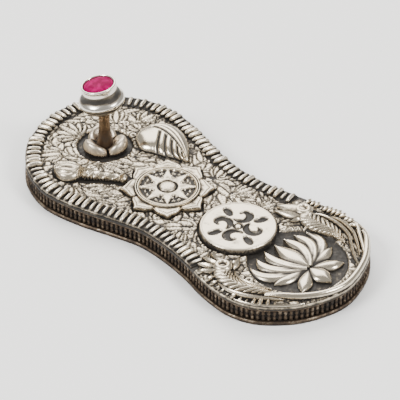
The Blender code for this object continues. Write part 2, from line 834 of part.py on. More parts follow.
def build_stem():
    """A slim turned post that flares into its foot and its neck."""
    x, y = knob_centre()
    foot = FOOTBED_BOTTOM
    tall = FOOTBED_TOP + STEM_HEIGHT - foot
    profile = (
        (0.0, 1.05 * tall),
        (1.25 * STEM_RADIUS, 1.05 * tall),
        (1.22 * STEM_RADIUS, 0.95 * tall),
        (1.0 * STEM_RADIUS, 0.86 * tall),
        (1.0 * STEM_RADIUS, 0.55 * tall),
        (1.12 * STEM_RADIUS, 0.38 * tall),
        (1.5 * STEM_RADIUS, 0.16 * tall),
        (1.5 * STEM_RADIUS, 0.0),
        (0.0, 0.0),
    )
    stem = turned("knob_stem", profile, 20, colour=SILVER, roughness=0.22)
    stem.location = (x, y, foot)
    bpy.ops.mesh.primitive_cube_add(size=8 * STEM_RADIUS)
    trim = bpy.context.object
    trim.name = "stem_trim"
    trim.matrix_world = head_frame() @ Matrix.Translation((0.0, 0.0, 4 * STEM_RADIUS - SEAM))
    cut(stem, trim)
    return stem


def build_head():
    """The bowl-shaped head, turned on its own leaning axis."""
    seat = STONE_RADIUS + SEAM + BEZEL_WALL
    profile = (
        (0.0, HEAD_HEIGHT),
        (seat, HEAD_HEIGHT),
        (1.08 * seat, 0.93 * HEAD_HEIGHT),
        (0.88 * HEAD_RADIUS, 0.80 * HEAD_HEIGHT),
        (0.97 * HEAD_RADIUS, 0.66 * HEAD_HEIGHT),
        (HEAD_RADIUS, 0.53 * HEAD_HEIGHT),
        (0.97 * HEAD_RADIUS, 0.40 * HEAD_HEIGHT),
        (0.84 * HEAD_RADIUS, 0.24 * HEAD_HEIGHT),
        (0.60 * HEAD_RADIUS, 0.10 * HEAD_HEIGHT),
        (0.34 * HEAD_RADIUS, 0.02 * HEAD_HEIGHT),
        (1.25 * STEM_RADIUS, 0.0),
        (0.0, 0.0),
    )
    head = turned("knob_head", profile, 28, roughness=0.18)
    head.matrix_world = head_frame()
    return head


def build_bezel():
    """The ring that holds the stone, on top of the head."""
    inner = STONE_RADIUS + SEAM
    outer = inner + BEZEL_WALL
    base = HEAD_HEIGHT + SEAM
    ring = ((inner, base), (outer, base), (outer, base + 0.85 * BEZEL_HEIGHT),
            (outer - 0.4 * BEZEL_WALL, base + BEZEL_HEIGHT), (inner, base + BEZEL_HEIGHT))
    count = 32
    rings = []
    for step in range(count):
        angle = math.tau * step / count
        turn = Matrix.Rotation(angle, 4, "Z")
        rings.append([turn @ Vector((radius, 0.0, height)) for radius, height in ring])
    bezel = loft("bezel", rings, joined=True, roughness=0.2)
    bezel.matrix_world = head_frame()
    return bezel


def build_stone():
    """A round stone: low pavilion, girdle and domed crown."""
    base = HEAD_HEIGHT + SEAM
    girdle = base + 0.70 * BEZEL_HEIGHT
    crown = girdle + 0.25 * BEZEL_HEIGHT
    profile = (
        (0.0, crown + STONE_DOME),
        (0.50 * STONE_RADIUS, crown + 0.88 * STONE_DOME),
        (0.84 * STONE_RADIUS, crown + 0.35 * STONE_DOME),
        (STONE_RADIUS, girdle + 0.08 * BEZEL_HEIGHT),
        (STONE_RADIUS, girdle),
        (0.55 * STONE_RADIUS, base),
        (0.0, base),
    )
    stone = turned("stone", profile, 24, colour=RUBY, roughness=0.08, metallic=0.0)
    stone.matrix_world = head_frame()
    return stone


clear_scene()
PARTS = make_collection("toe_knob_sandal")
CUTTERS = make_collection("cutters")
OUTLINE = Outline()

build_sole()
build_footbed()
build_border()
build_heel_rim()
build_sun()
build_disc()
build_lotus()
build_bird("bird_left", -1)
build_bird("bird_right", 1)
build_conch()
build_mace()
build_cup()
build_stem()
build_head()
build_bezel()
build_stone()
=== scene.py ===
"""Dresses a small oxidised-silver toe knob sandal: foliage ground, roped border, reliefs and a set knob.

Shapes are worked out in millimetres and turned into metres when a mesh is made. +Z is up, the toe is
towards +Y and the big-toe side is at +X.
"""

import logging
import math
from dataclasses import dataclass, field
from enum import Enum
from typing import Callable, Optional, Sequence

import bmesh
import bpy
import numpy as np
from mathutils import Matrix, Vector
from mathutils.bvhtree import BVHTree

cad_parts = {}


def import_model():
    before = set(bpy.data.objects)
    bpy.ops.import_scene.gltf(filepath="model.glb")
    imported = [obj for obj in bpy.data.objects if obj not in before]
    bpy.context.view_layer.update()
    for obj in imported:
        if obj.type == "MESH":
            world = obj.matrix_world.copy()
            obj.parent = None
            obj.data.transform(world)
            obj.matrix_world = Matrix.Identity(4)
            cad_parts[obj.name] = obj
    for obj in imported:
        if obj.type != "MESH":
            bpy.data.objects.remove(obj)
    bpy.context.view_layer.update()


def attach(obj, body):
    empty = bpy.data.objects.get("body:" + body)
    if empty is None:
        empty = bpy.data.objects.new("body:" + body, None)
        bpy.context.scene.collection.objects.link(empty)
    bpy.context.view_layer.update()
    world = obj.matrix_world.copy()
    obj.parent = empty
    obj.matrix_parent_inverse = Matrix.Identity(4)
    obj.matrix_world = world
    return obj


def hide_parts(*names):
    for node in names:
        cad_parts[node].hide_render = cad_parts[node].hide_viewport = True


LOG = logging.getLogger("sandal")
MM = 0.001
SEED = 7

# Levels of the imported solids, and of the ground between the leaves
SOLE_TOP = 3.7
PLATE_BOTTOM = 4.0
PLATE_TOP = 4.8
RELIEF_BASE = 5.1
GROUND = 4.6

Relief = Callable[[np.ndarray, np.ndarray], np.ndarray]


class Slot(Enum):
    """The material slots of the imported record."""

    OXIDISED = "oxidised_silver"
    DARK = "dark_silver"
    POLISHED = "polished_silver"
    RUBY = "ruby_stone"


class Side(Enum):
    """A side of the sole, by the sign of its X."""

    RIGHT = 1
    LEFT = -1


# Small helpers on numbers and paths

def smoothstep(low: float, high: float, value: np.ndarray) -> np.ndarray:
    """Eases a value from 0 at low to 1 at high."""
    share = np.clip((value - low) / (high - low), 0.0, 1.0)
    return share * share * (3.0 - 2.0 * share)


def spline(points: Sequence[Sequence[float]], count: int) -> np.ndarray:
    """Samples an open Catmull-Rom curve through rows of numbers.

    Args:
        points: Rows to pass through, of any width.
        count: How many samples to take.

    Returns:
        An array of count rows.
    """
    rows = np.asarray(points, float)
    rows = np.vstack([2 * rows[0] - rows[1], rows, 2 * rows[-1] - rows[-2]])
    place = np.linspace(0.0, len(rows) - 3 - 1e-9, count)
    first = place.astype(int)
    t = (place - first)[:, None]
    a, b, c, d = (rows[first + step] for step in range(4))
    square, cube = 2 * a - 5 * b + 4 * c - d, 3 * b - 3 * c + d - a
    return 0.5 * (2 * b + (c - a) * t + square * t ** 2 + cube * t ** 3)


def blurred(field_map: np.ndarray, radius: int) -> np.ndarray:
    """Blurs a map with three box passes each way.

    Args:
        field_map: The map to blur.
        radius: Half the box, in cells.

    Returns:
        The blurred map, of the same size.
    """
    result = field_map
    width = 2 * radius + 1
    for _ in range(3):
        for axis in (0, 1):
            pad = [(radius + 1, radius) if axis == k else (0, 0) for k in (0, 1)]
            total = np.cumsum(np.pad(result, pad, mode="edge"), axis=axis)
            upper = np.take(total, range(width, total.shape[axis]), axis=axis)
            lower = np.take(total, range(0, total.shape[axis] - width), axis=axis)
            result = (upper - lower) / width
    return result


# Outline of the sole

HEEL, WAIST, BALL = 37.4, 30.2, 40.6
LENGTH = 88.0
# width of the zone, place along as a share of LENGTH, left and right as shares of the width
OUTLINE_ROWS = (
    (HEEL, -0.472, 0.219, 0.265),
    (HEEL, -0.432, 0.350, 0.401),
    (HEEL, -0.386, 0.439, 0.492),
    (HEEL, -0.324, 0.484, 0.516),
    (HEEL, -0.239, 0.471, 0.489),
    (WAIST, -0.159, 0.530, 0.553),
    (WAIST, -0.080, 0.500, 0.510),
    (WAIST, 0.000, 0.500, 0.500),
    (WAIST, 0.080, 0.560, 0.540),
    (BALL, 0.170, 0.475, 0.453),
    (BALL, 0.273, 0.505, 0.493),
    (BALL, 0.355, 0.456, 0.473),
    (BALL, 0.411, 0.374, 0.416),
    (BALL, 0.466, 0.229, 0.305),
)


class Outline:
    """The sole's edge, read by its share of the way round from the heel's tip."""

    def __init__(self) -> None:
        """Builds the closed edge through the rows of its table."""
        heel = [(0.029 * HEEL, -0.5 * LENGTH)]
        right = [(share * width, along * LENGTH) for width, along, _, share in OUTLINE_ROWS]
        toe = [(0.052 * BALL, 0.5 * LENGTH)]
        left = [(-share * width, along * LENGTH) for width, along, share, _ in reversed(OUTLINE_ROWS)]
        self.points = self._through(np.array(heel + right + toe + left), 24)
        self.points -= (self.points.min(axis=0) + self.points.max(axis=0)) / 2
        closed = np.vstack([self.points, self.points[:1]])
        self.travel = np.concatenate([[0.0], np.cumsum(np.linalg.norm(np.diff(closed, axis=0), axis=1))])
        self.length = float(self.travel[-1])
        along = np.roll(self.points, -2, axis=0) - np.roll(self.points, 2, axis=0)
        along /= np.linalg.norm(along, axis=1)[:, None]
        self.inwards = np.stack([-along[:, 1], along[:, 0]], axis=1)

    @staticmethod
    def _through(points: np.ndarray, per_span: int) -> np.ndarray:
        """Samples a closed centripetal curve.

        Args:
            points: The points to pass through.
            per_span: How many samples to take between two of them.

        Returns:
            The samples, in order round the curve.
        """
        result = []
        count = len(points)
        for index in range(count):
            four = [points[(index + step) % count] for step in (-1, 0, 1, 2)]
            knots = [0.0]
            for first, second in zip(four, four[1:]):
                knots.append(knots[-1] + math.sqrt(float(np.linalg.norm(second - first))))
            for step in range(per_span):
                t = knots[1] + (knots[2] - knots[1]) * step / per_span
                level = four
                for order in (1, 2, 3):
                    blended = []
                    for k in range(len(level) - 1):
                        low = knots[k] if order < 3 else knots[1]
                        high = knots[k + order] if order < 3 else knots[2]
                        share = (t - low) / (high - low)
                        blended.append(level[k] * (1.0 - share) + level[k + 1] * share)
                    level = blended
                result.append(level[0])
        return np.array(result)

    def at(self, shares: np.ndarray, inset: np.ndarray | float = 0.0) -> np.ndarray:
        """Gives points by their share of the way round.

        Args:
            shares: Shares from the heel's tip, up the right side first.
            inset: How far each point is moved inwards.

        Returns:
            One flat point for each share.
        """
        shares = np.atleast_1d(np.asarray(shares, float))
        distance = (shares % 1.0) * self.length
        low = np.clip(np.searchsorted(self.travel, distance, side="right") - 1, 0, len(self.points) - 1)
        high = (low + 1) % len(self.points)
        blend = ((distance - self.travel[low]) / (self.travel[low + 1] - self.travel[low]))[:, None]
        flat = self.points[low] * (1 - blend) + self.points[high] * blend
        side = self.inwards[low] * (1 - blend) + self.inwards[high] * blend
        return flat + side * np.broadcast_to(np.asarray(inset, float), shares.shape)[:, None]

    def share_at(self, along: float, side: Side, inset: float = 0.0) -> float:
        """Gives the share of the way round where one side passes a height y.

        Args:
            along: The height y.
            side: Which side of the sole.
            inset: How far inside the edge it is measured.

        Returns:
            The share of the way round.
        """
        shares = np.linspace(0.0, 0.5, 1441)
        if side is Side.LEFT:
            shares = 1.0 - shares
        return float(shares[np.argmin(np.abs(self.at(shares, inset)[:, 1] - along))])

    def depth(self, points: np.ndarray) -> tuple[np.ndarray, np.ndarray]:
        """Measures how far points lie inside the edge.

        Args:
            points: Flat points.

        Returns:
            Each point's depth, below 0 outside, and the index of its nearest sample of the edge.
        """
        near = np.empty(len(points), int)
        step = 4000
        for start in range(0, len(points), step):
            block = points[start:start + step]
            gaps = ((block[:, None, :] - self.points[None, :, :]) ** 2).sum(axis=2)
            near[start:start + step] = gaps.argmin(axis=1)
        depths = ((points - self.points[near]) * self.inwards[near]).sum(axis=1)
        return depths, near


EDGE = Outline()


# Finishes

class Shader:
    """A short way to lay out the nodes of one material."""

    def __init__(self, name: str) -> None:
        """Makes a material with its Principled shader and output.

        Args:
            name: The material's name.
        """
        self.material = bpy.data.materials.new(name)
        self.material.use_nodes = True
        self.tree = self.material.node_tree
        self.shader = self.tree.nodes["Principled BSDF"]

    def node(self, kind: str, **values: object) -> bpy.types.Node:
        """Adds a node and sets its own properties.

        Args:
            kind: The node's type.
            values: Its own properties.

        Returns:
            The node.
        """
        made = self.tree.nodes.new(kind)
        for key, value in values.items():
            setattr(made, key, value)
        return made

    def link(self, source: bpy.types.NodeSocket, target: bpy.types.NodeSocket) -> None:
        """Links two sockets."""
        self.tree.links.new(source, target)

    def noise(self, scale: float, detail: float = 3.0, rough: float = 0.55) -> bpy.types.NodeSocket:
        """Adds noise on object coordinates and gives its value.

        Args:
            scale: Its scale.
            detail: Its detail.
            rough: Its roughness.

        Returns:
            Its value.
        """
        place = self.node("ShaderNodeTexCoord")
        made = self.node("ShaderNodeTexNoise")
        made.inputs["Scale"].default_value = scale
        made.inputs["Detail"].default_value = detail
        made.inputs["Roughness"].default_value = rough
        self.link(place.outputs["Object"], made.inputs["Vector"])
        return made.outputs["Fac"]

    def mapped(self, source: bpy.types.NodeSocket, low: float, high: float,
               to_low: float, to_high: float) -> bpy.types.NodeSocket:
        """Maps a value from one range to another, clamped.

        Args:
            source: The value to map.
            low: Where it starts.
            high: Where it ends.
            to_low: What the start becomes.
            to_high: What the end becomes.

        Returns:
            The mapped value.
        """
        made = self.node("ShaderNodeMapRange")
        self.link(source, made.inputs["Value"])
        for label, value in (("From Min", low), ("From Max", high), ("To Min", to_low), ("To Max", to_high)):
            made.inputs[label].default_value = value
        return made.outputs["Result"]

    def math(self, kind: str, first: bpy.types.NodeSocket,
             second: bpy.types.NodeSocket | float, clamp: bool = False) -> bpy.types.NodeSocket:
        """Adds a math node on two values.

        Args:
            kind: The operation.
            first: Its first value.
            second: Its second value.
            clamp: Whether the result stays from 0 to 1.

        Returns:
            The result.
        """
        made = self.node("ShaderNodeMath", operation=kind, use_clamp=clamp)
        self.link(first, made.inputs[0])
        if isinstance(second, (int, float)):
            made.inputs[1].default_value = second
        else:
            self.link(second, made.inputs[1])
        return made.outputs[0]

    def ramp(self, source: bpy.types.NodeSocket,
             stops: Sequence[tuple[float, tuple[float, float, float]]]) -> bpy.types.NodeSocket:
        """Adds a colour ramp with the given stops.

        Args:
            source: Where on the ramp.
            stops: Places and their colours.

        Returns:
            The colour.
        """
        made = self.node("ShaderNodeValToRGB")
        elements = made.color_ramp.elements
        while len(elements) < len(stops):
            elements.new(0.5)
        for element, (place, colour) in zip(elements, stops):
            element.position = place
            element.color = (*colour, 1.0)
        self.link(source, made.inputs["Fac"])
        return made.outputs["Color"]

    def bump(self, height: bpy.types.NodeSocket, strength: float, distance: float) -> None:
        """Adds a bump to the shader's normal.

        Args:
            height: The bump's height.
            strength: How strong it is.
            distance: How high it is, in metres.
        """
        made = self.node("ShaderNodeBump")
        made.inputs["Strength"].default_value = strength
        made.inputs["Distance"].default_value = distance
        self.link(height, made.inputs["Height"])
        self.link(made.outputs["Normal"], self.shader.inputs["Normal"])


@dataclass(frozen=True)
class SilverFinish:
    """Silver with patina in its hollows, read from the per-point value that each piece carries: wear, and on
    the sole and the knob's head also painted shade and painted highlight.
    """

    name: str
    bright: tuple[float, float, float] = (0.62, 0.545, 0.425)
    middle: tuple[float, float, float] = (0.27, 0.235, 0.188)
    dark: tuple[float, float, float] = (0.020, 0.017, 0.014)
    smooth: float = 0.27
    matt: float = 0.62
    mottle: float = 0.22
    grain: float = 0.25
    turn: float = 0.48

    def build(self) -> bpy.types.Material:
        """Makes the material.

        Returns:
            The material.
        """
        made = Shader(self.name)
        # The wear value also holds painted contact shadow on the sole, and a painted highlight and a painted
        # reflection on the knob's head.
        wear_and_painted_shading = made.node("ShaderNodeAttribute", attribute_name="wear_and_painted_shading").outputs["Fac"]
        patches = made.mapped(made.noise(520.0, 4.0), 0.3, 0.7, -self.mottle, self.mottle)
        specks = made.mapped(made.noise(2600.0, 2.0), 0.3, 0.7, -0.5 * self.mottle, 0.5 * self.mottle)
        worn_and_shaded = made.math("ADD", wear_and_painted_shading, made.math("ADD", patches, specks), clamp=True)
        stops = (
            (0.0, self.dark),
            (0.42 * self.turn, tuple(2.2 * value for value in self.dark)),
            (self.turn, self.middle),
            (min(1.0, 1.6 * self.turn), self.bright),
        )
        made.link(made.ramp(worn_and_shaded, stops), made.shader.inputs["Base Color"])
        made.link(made.mapped(worn_and_shaded, 0.1, 0.9, self.matt, self.smooth), made.shader.inputs["Roughness"])
        made.link(made.mapped(worn_and_shaded, 0.0, self.turn, 0.35, 1.0), made.shader.inputs["Metallic"])
        fine = made.math("ADD", made.noise(1500.0, 3.0), made.noise(5200.0, 2.0))
        made.bump(fine, self.grain, 0.00008)
        return made.material


@dataclass(frozen=True)
class StoneFinish:
    """A ruby-pink glass stone."""

    name: str = "ruby_pink_glass"
    deep: tuple[float, float, float] = (0.20, 0.0, 0.045)
    light: tuple[float, float, float] = (0.46, 0.002, 0.13)

    def build(self) -> bpy.types.Material:
        """Makes the material.

        Returns:
            The material.
        """
        made = Shader(self.name)
        colour = made.ramp(made.noise(620.0, 2.0), ((0.42, self.deep), (0.78, self.light)))
        made.link(colour, made.shader.inputs["Base Color"])
        made.shader.inputs["Roughness"].default_value = 0.3
        made.shader.inputs["IOR"].default_value = 1.33
        made.shader.inputs["Specular IOR Level"].default_value = 0.04
        return made.material


@dataclass(frozen=True)
class FloorFinish:
    """A plain pale studio floor."""

    name: str = "pale_floor"
    colour: tuple[float, float, float] = (0.975, 0.973, 0.955)

    def build(self) -> bpy.types.Material:
        """Makes the material.

        Returns:
            The material.
        """
        made = Shader(self.name)
        tint = made.mapped(made.noise(3.0, 1.0), 0.3, 0.7, 0.985, 1.0)
        mix = made.node("ShaderNodeMix", data_type="RGBA")
        mix.inputs["A"].default_value = tuple(0.97 * value for value in self.colour) + (1.0,)
        mix.inputs["B"].default_value = (*self.colour, 1.0)
        made.link(tint, mix.inputs["Factor"])
        made.link(mix.outputs["Result"], made.shader.inputs["Base Color"])
        made.shader.inputs["Roughness"].default_value = 0.6
        return made.material


CAST = SilverFinish("oxidised_cast_silver", bright=(0.58, 0.505, 0.39), middle=(0.225, 0.188, 0.138),
                    mottle=0.26)
ROPED = SilverFinish("rubbed_border_silver", bright=(0.76, 0.68, 0.55), middle=(0.21, 0.175, 0.13),
                     mottle=0.24)
PLATE = SilverFinish("engraved_plate_silver", smooth=0.29, mottle=0.32, grain=0.24)
SHELL = SilverFinish("burnished_silver", smooth=0.20, mottle=0.12, grain=0.10)
# The sole wall's finish: dark with patina, and brown as a painted reflection of a dark wooden board that is
# not in the scene.
WALL = SilverFinish("patina_and_painted_board_reflection_wall_silver", bright=(0.34, 0.28, 0.21), middle=(0.09, 0.065, 0.045),
                    dark=(0.010, 0.007, 0.005), smooth=0.38, matt=0.7, turn=0.55)
TURNED = SilverFinish("turned_polished_silver", bright=(0.74, 0.69, 0.61), middle=(0.26, 0.22, 0.17),
                      smooth=0.17, mottle=0.06, grain=0.04)
CUP = SilverFinish("tarnished_cup_silver", bright=(0.66, 0.57, 0.45), middle=(0.26, 0.19, 0.135),
                   smooth=0.36, mottle=0.34, grain=0.16)
# The stem's finish: dark brown silver, its tone set darker towards its foot.
STEM = SilverFinish("dark_brown_stem_silver", bright=(0.26, 0.185, 0.12), middle=(0.10, 0.066, 0.042),
                    smooth=0.2, mottle=0.10, grain=0.05)


# Meshes

class Solid:
    """Collects closed shells and turns them into one object."""

    def __init__(self) -> None:
        """Starts empty."""
        self.points: list[np.ndarray] = []
        self.faces: list[tuple[int, ...]] = []
        self.count = 0

    def add(self, points: np.ndarray, faces: Sequence[tuple[int, ...]]) -> None:
        """Adds a shell of points in millimetres and its faces.

        Args:
            points: Points in millimetres.
            faces: Faces as indices of these points.
        """
        self.points.append(np.asarray(points, float))
        self.faces.extend(tuple(index + self.count for index in face) for face in faces)
        self.count += len(points)

    def loft(self, rings: np.ndarray, joined: bool = False) -> None:
        """Adds a loft of closed rings.

        Args:
            rings: An array of rings, each of as many points.
            joined: True where the last ring meets the first; otherwise both ends are capped.
        """
        rows, count = rings.shape[:2]
        faces: list[tuple[int, ...]] = []
        for row in range(rows if joined else rows - 1):
            after = (row + 1) % rows
            for index in range(count):
                following = (index + 1) % count
                faces.append((row * count + index, row * count + following,
                              after * count + following, after * count + index))
        if not joined:
            faces.append(tuple(range(count - 1, -1, -1)))
            faces.append(tuple(range((rows - 1) * count, rows * count)))
        self.add(rings.reshape(-1, 3), faces)

    def crowned(self, spine: np.ndarray, widths: np.ndarray, heights: np.ndarray, base: float,
                skirt: float = 0.35, arc: int = 10, round_off: float = 0.6,
                relief: Optional[Relief] = None) -> None:
        """Adds a low crowned form along a flat spine.

        Args:
            spine: Flat points along the middle.
            widths: The full width at each point.
            heights: The crown's height above base at each point.
            base: The level where the crown springs.
            skirt: How far the side goes on below base.
            arc: How many faces run across.
            round_off: Shape of the section, 0.5 for an ellipse and less for a fuller one.
            relief: Adds a height for a share along and a place across from -1 to 1.
        """
        along = np.gradient(spine, axis=0)
        along /= np.maximum(np.linalg.norm(along, axis=1), 1e-9)[:, None]
        across = np.stack([along[:, 1], -along[:, 0]], axis=1)
        v = np.sin(np.linspace(-1.0, 1.0, arc + 1) * math.pi / 2)
        crown = np.clip(1.0 - np.abs(v) ** 2.2, 0.0, 1.0) ** round_off
        flat = spine[:, None, :] + across[:, None, :] * (widths / 2)[:, None, None] * v[None, :, None]
        level = base + heights[:, None] * crown[None, :]
        if relief is not None:
            u = np.linspace(0.0, 1.0, len(spine))[:, None] * np.ones_like(v)[None, :]
            level = level + relief(u, v[None, :] * np.ones_like(u)) * np.minimum(1.0, 2.5 * crown)[None, :]
        rings = np.concatenate([flat, level[:, :, None]], axis=2)
        low = rings[:, [0, -1], :].copy()
        low[:, :, 2] = base - skirt
        self.loft(np.concatenate([low[:, :1], rings, low[:, 1:]], axis=1))

    def leaf(self, root: Sequence[float], heading: float, length: float, width: float, height: float,
             base: float, rib: float = 0.0, steps: int = 12, arc: int = 8,
             fullest: float = 0.42, skirt: float = 0.3) -> None:
        """Adds a pointed leaf or petal.

        Args:
            root: Where it springs.
            heading: Degrees from +Y towards +X.
            length: From its root to its tip.
            width: Its full width.
            height: Its crown above base.
            base: The level where the crown springs.
            rib: Height of the rib along its middle.
            steps: How many faces run along it.
            arc: How many faces run across it.
            fullest: Where it is widest, as a share of its length.
            skirt: How far the side goes on below base.
        """
        turn = math.radians(heading)
        forward = np.array([math.sin(turn), math.cos(turn)])
        u = np.linspace(0.0, 1.0, steps + 1)
        spine = np.asarray(root, float)[None, :] + forward[None, :] * (u * length)[:, None]
        rise = np.where(u < fullest, np.sin(0.5 * math.pi * np.clip(u / fullest, 0, 1)) ** 0.8,
                        np.cos(0.5 * math.pi * np.clip((u - fullest) / (1 - fullest), 0, 1)) ** 0.85)
        widths = width * np.maximum(rise, 0.06)
        heights = height * (0.35 + 0.65 * rise)
        middle = (lambda a, v: rib * np.exp(-(v / 0.16) ** 2) * np.sin(math.pi * np.clip(a, 0, 1)) ** 0.5)
        self.crowned(spine, widths, heights, base, skirt, arc, relief=middle if rib else None)

    def turned(self, profile: Sequence[tuple[float, float]], centre: Sequence[float],
               steps: int) -> None:
        """Adds a turned form.

        Args:
            profile: Rows of (radius, height) from the bottom up, its first and last on the axis.
            centre: Where its axis stands, with the height of its zero.
            steps: How many faces go round.
        """
        rows = np.asarray(profile, float)
        inner = rows[1:-1]
        angles = np.linspace(0.0, math.tau, steps, endpoint=False)
        circle = np.stack([np.cos(angles), np.sin(angles)], axis=1)
        rings = np.stack([np.concatenate([circle * radius, np.full((steps, 1), height)], axis=1)
                          for radius, height in inner])
        points = np.vstack([rings.reshape(-1, 3), [[0.0, 0.0, rows[0, 1]], [0.0, 0.0, rows[-1, 1]]]])
        faces: list[tuple[int, ...]] = []
        for row in range(len(inner) - 1):
            for index in range(steps):
                following = (index + 1) % steps
                faces.append((row * steps + index, row * steps + following,
                              (row + 1) * steps + following, (row + 1) * steps + index))
        bottom, top = len(points) - 2, len(points) - 1
        last = (len(inner) - 1) * steps
        for index in range(steps):
            following = (index + 1) % steps
            faces.append((bottom, following, index))
            faces.append((top, last + index, last + following))
        self.add(points + np.asarray(centre, float), faces)

    def object(self, name: str, sharp: float = 40.0) -> bpy.types.Object:
        """Makes the object, with its faces turned outwards and its soft edges shaded smooth.

        Args:
            name: The piece's name.
            sharp: Degrees past which an edge stays sharp.

        Returns:
            The new object, linked to the scene.
        """
        mesh = bpy.data.meshes.new(name)
        mesh.from_pydata((np.vstack(self.points) * MM).tolist(), [], self.faces)
        build = bmesh.new()
        build.from_mesh(mesh)
        bmesh.ops.recalc_face_normals(build, faces=build.faces)
        build.to_mesh(mesh)
        build.free()
        return link_mesh(name, mesh, sharp)


def link_mesh(name: str, mesh: bpy.types.Mesh, sharp: float = 40.0) -> bpy.types.Object:
    """Links a mesh as a new object with smooth shading.

    Args:
        name: The object's name.
        mesh: Its mesh.
        sharp: Edges steeper than this many degrees stay sharp.

    Returns:
        The object.
    """
    mesh.shade_smooth()
    mesh.set_sharp_from_angle(angle=math.radians(sharp))
    made = bpy.data.objects.new(name, mesh)
    bpy.context.scene.collection.objects.link(made)
    return made


class CopyRow:
    """A Geometry Nodes tree that sets copies of one shape along a path."""

    INPUTS = (
        ("Shape", "NodeSocketObject"),
        ("Count", "NodeSocketInt"),
        ("Size Spread", "NodeSocketFloat"),
        ("Seed", "NodeSocketInt"),
        ("Finish", "NodeSocketMaterial"),
    )

    def __init__(self) -> None:
        """Builds the tree with its named inputs."""
        self.tree = bpy.data.node_groups.new("copies_along_path", "GeometryNodeTree")
        face = self.tree.interface
        face.new_socket("Geometry", in_out="INPUT", socket_type="NodeSocketGeometry")
        self.keys = {label: face.new_socket(label, in_out="INPUT", socket_type=kind).identifier
                     for label, kind in self.INPUTS}
        face.new_socket("Geometry", in_out="OUTPUT", socket_type="NodeSocketGeometry")
        add = self.tree.nodes.new
        link = self.tree.links.new
        given, out = add("NodeGroupInput"), add("NodeGroupOutput")
        path = add("GeometryNodeMeshToCurve")
        points = add("GeometryNodeCurveToPoints")
        points.mode = "COUNT"
        turn = add("FunctionNodeAlignRotationToVector")
        turn.axis, turn.pivot_axis = "X", "Z"
        shape = add("GeometryNodeObjectInfo")
        shape.transform_space = "ORIGINAL"
        low, high = add("ShaderNodeMath"), add("ShaderNodeMath")
        low.operation, high.operation = "SUBTRACT", "ADD"
        low.inputs[0].default_value = high.inputs[0].default_value = 1.0
        size = add("FunctionNodeRandomValue")
        place = add("GeometryNodeInstanceOnPoints")
        real = add("GeometryNodeRealizeInstances")
        finish = add("GeometryNodeSetMaterial")
        link(given.outputs["Geometry"], path.inputs["Mesh"])
        link(path.outputs["Curve"], points.inputs["Curve"])
        link(given.outputs["Count"], points.inputs["Count"])
        link(points.outputs["Tangent"], turn.inputs["Vector"])
        link(given.outputs["Shape"], shape.inputs["Object"])
        for made in (low, high):
            link(given.outputs["Size Spread"], made.inputs[1])
        floats = [socket for socket in size.inputs if socket.type == "VALUE"]
        link(low.outputs[0], floats[0])
        link(high.outputs[0], floats[1])
        link(given.outputs["Seed"], size.inputs["Seed"])
        link(points.outputs["Points"], place.inputs["Points"])
        link(shape.outputs["Geometry"], place.inputs["Instance"])
        link(turn.outputs["Rotation"], place.inputs["Rotation"])
        link([socket for socket in size.outputs if socket.type == "VALUE"][0], place.inputs["Scale"])
        link(place.outputs["Instances"], real.inputs["Geometry"])
        link(real.outputs["Geometry"], finish.inputs["Geometry"])
        link(given.outputs["Finish"], finish.inputs["Material"])
        link(finish.outputs["Geometry"], out.inputs["Geometry"])

    def run(self, path: np.ndarray, closed: bool, shape: Solid, count: int, spread: float,
            material: bpy.types.Material, seed: int = SEED, height: float = 0.0) -> bpy.types.Mesh:
        """Makes a plain mesh of copies.

        Args:
            path: Flat points of the path, in millimetres.
            closed: True where the path closes.
            shape: The shape to copy, X along the path and Y to its left.
            count: How many copies are set.
            spread: How far their sizes differ, as a share.
            material: The finish of the copies.
            seed: Seed of the sizes.
            height: Level of the path.

        Returns:
            The mesh, in metres.
        """
        rows = np.concatenate([path, np.full((len(path), 1), height)], axis=1) * MM
        edges = [(index, index + 1) for index in range(len(rows) - 1)]
        if closed:
            edges.append((len(rows) - 1, 0))
        mesh = bpy.data.meshes.new("path")
        mesh.from_pydata(rows.tolist(), edges, [])
        carrier = bpy.data.objects.new("path", mesh)
        bpy.context.scene.collection.objects.link(carrier)
        copied = shape.object("copied_shape", 50.0)
        modifier = carrier.modifiers.new("copies", "NODES")
        modifier.node_group = self.tree
        for label, value in (("Shape", copied), ("Count", count), ("Size Spread", spread),
                             ("Seed", seed), ("Finish", material)):
            modifier[self.keys[label]] = value
        view = bpy.context.evaluated_depsgraph_get()
        result = bpy.data.meshes.new_from_object(carrier.evaluated_get(view))
        for item in (carrier, copied):
            bpy.data.objects.remove(item, do_unlink=True)
        return result


def merged(name: str, meshes: Sequence[bpy.types.Mesh], sharp: float = 40.0) -> bpy.types.Object:
    """Joins plain meshes into one new object.

    Args:
        name: The object's name.
        meshes: What is joined.
        sharp: Edges steeper than this many degrees stay sharp.

    Returns:
        The object.
    """
    build = bmesh.new()
    for mesh in meshes:
        build.from_mesh(mesh)
    whole = bpy.data.meshes.new(name)
    build.to_mesh(whole)
    build.free()
    return link_mesh(name, whole, sharp)


# Pieces

@dataclass
class Piece:
    """A finished piece with what it stands for."""

    item: bpy.types.Object
    finish: SilverFinish | StoneFinish
    slot: Slot
    nodes: tuple[str, ...]
    wear_and_painted_shading: Optional[np.ndarray] = None
    in_map: bool = True
    ground: bool = False


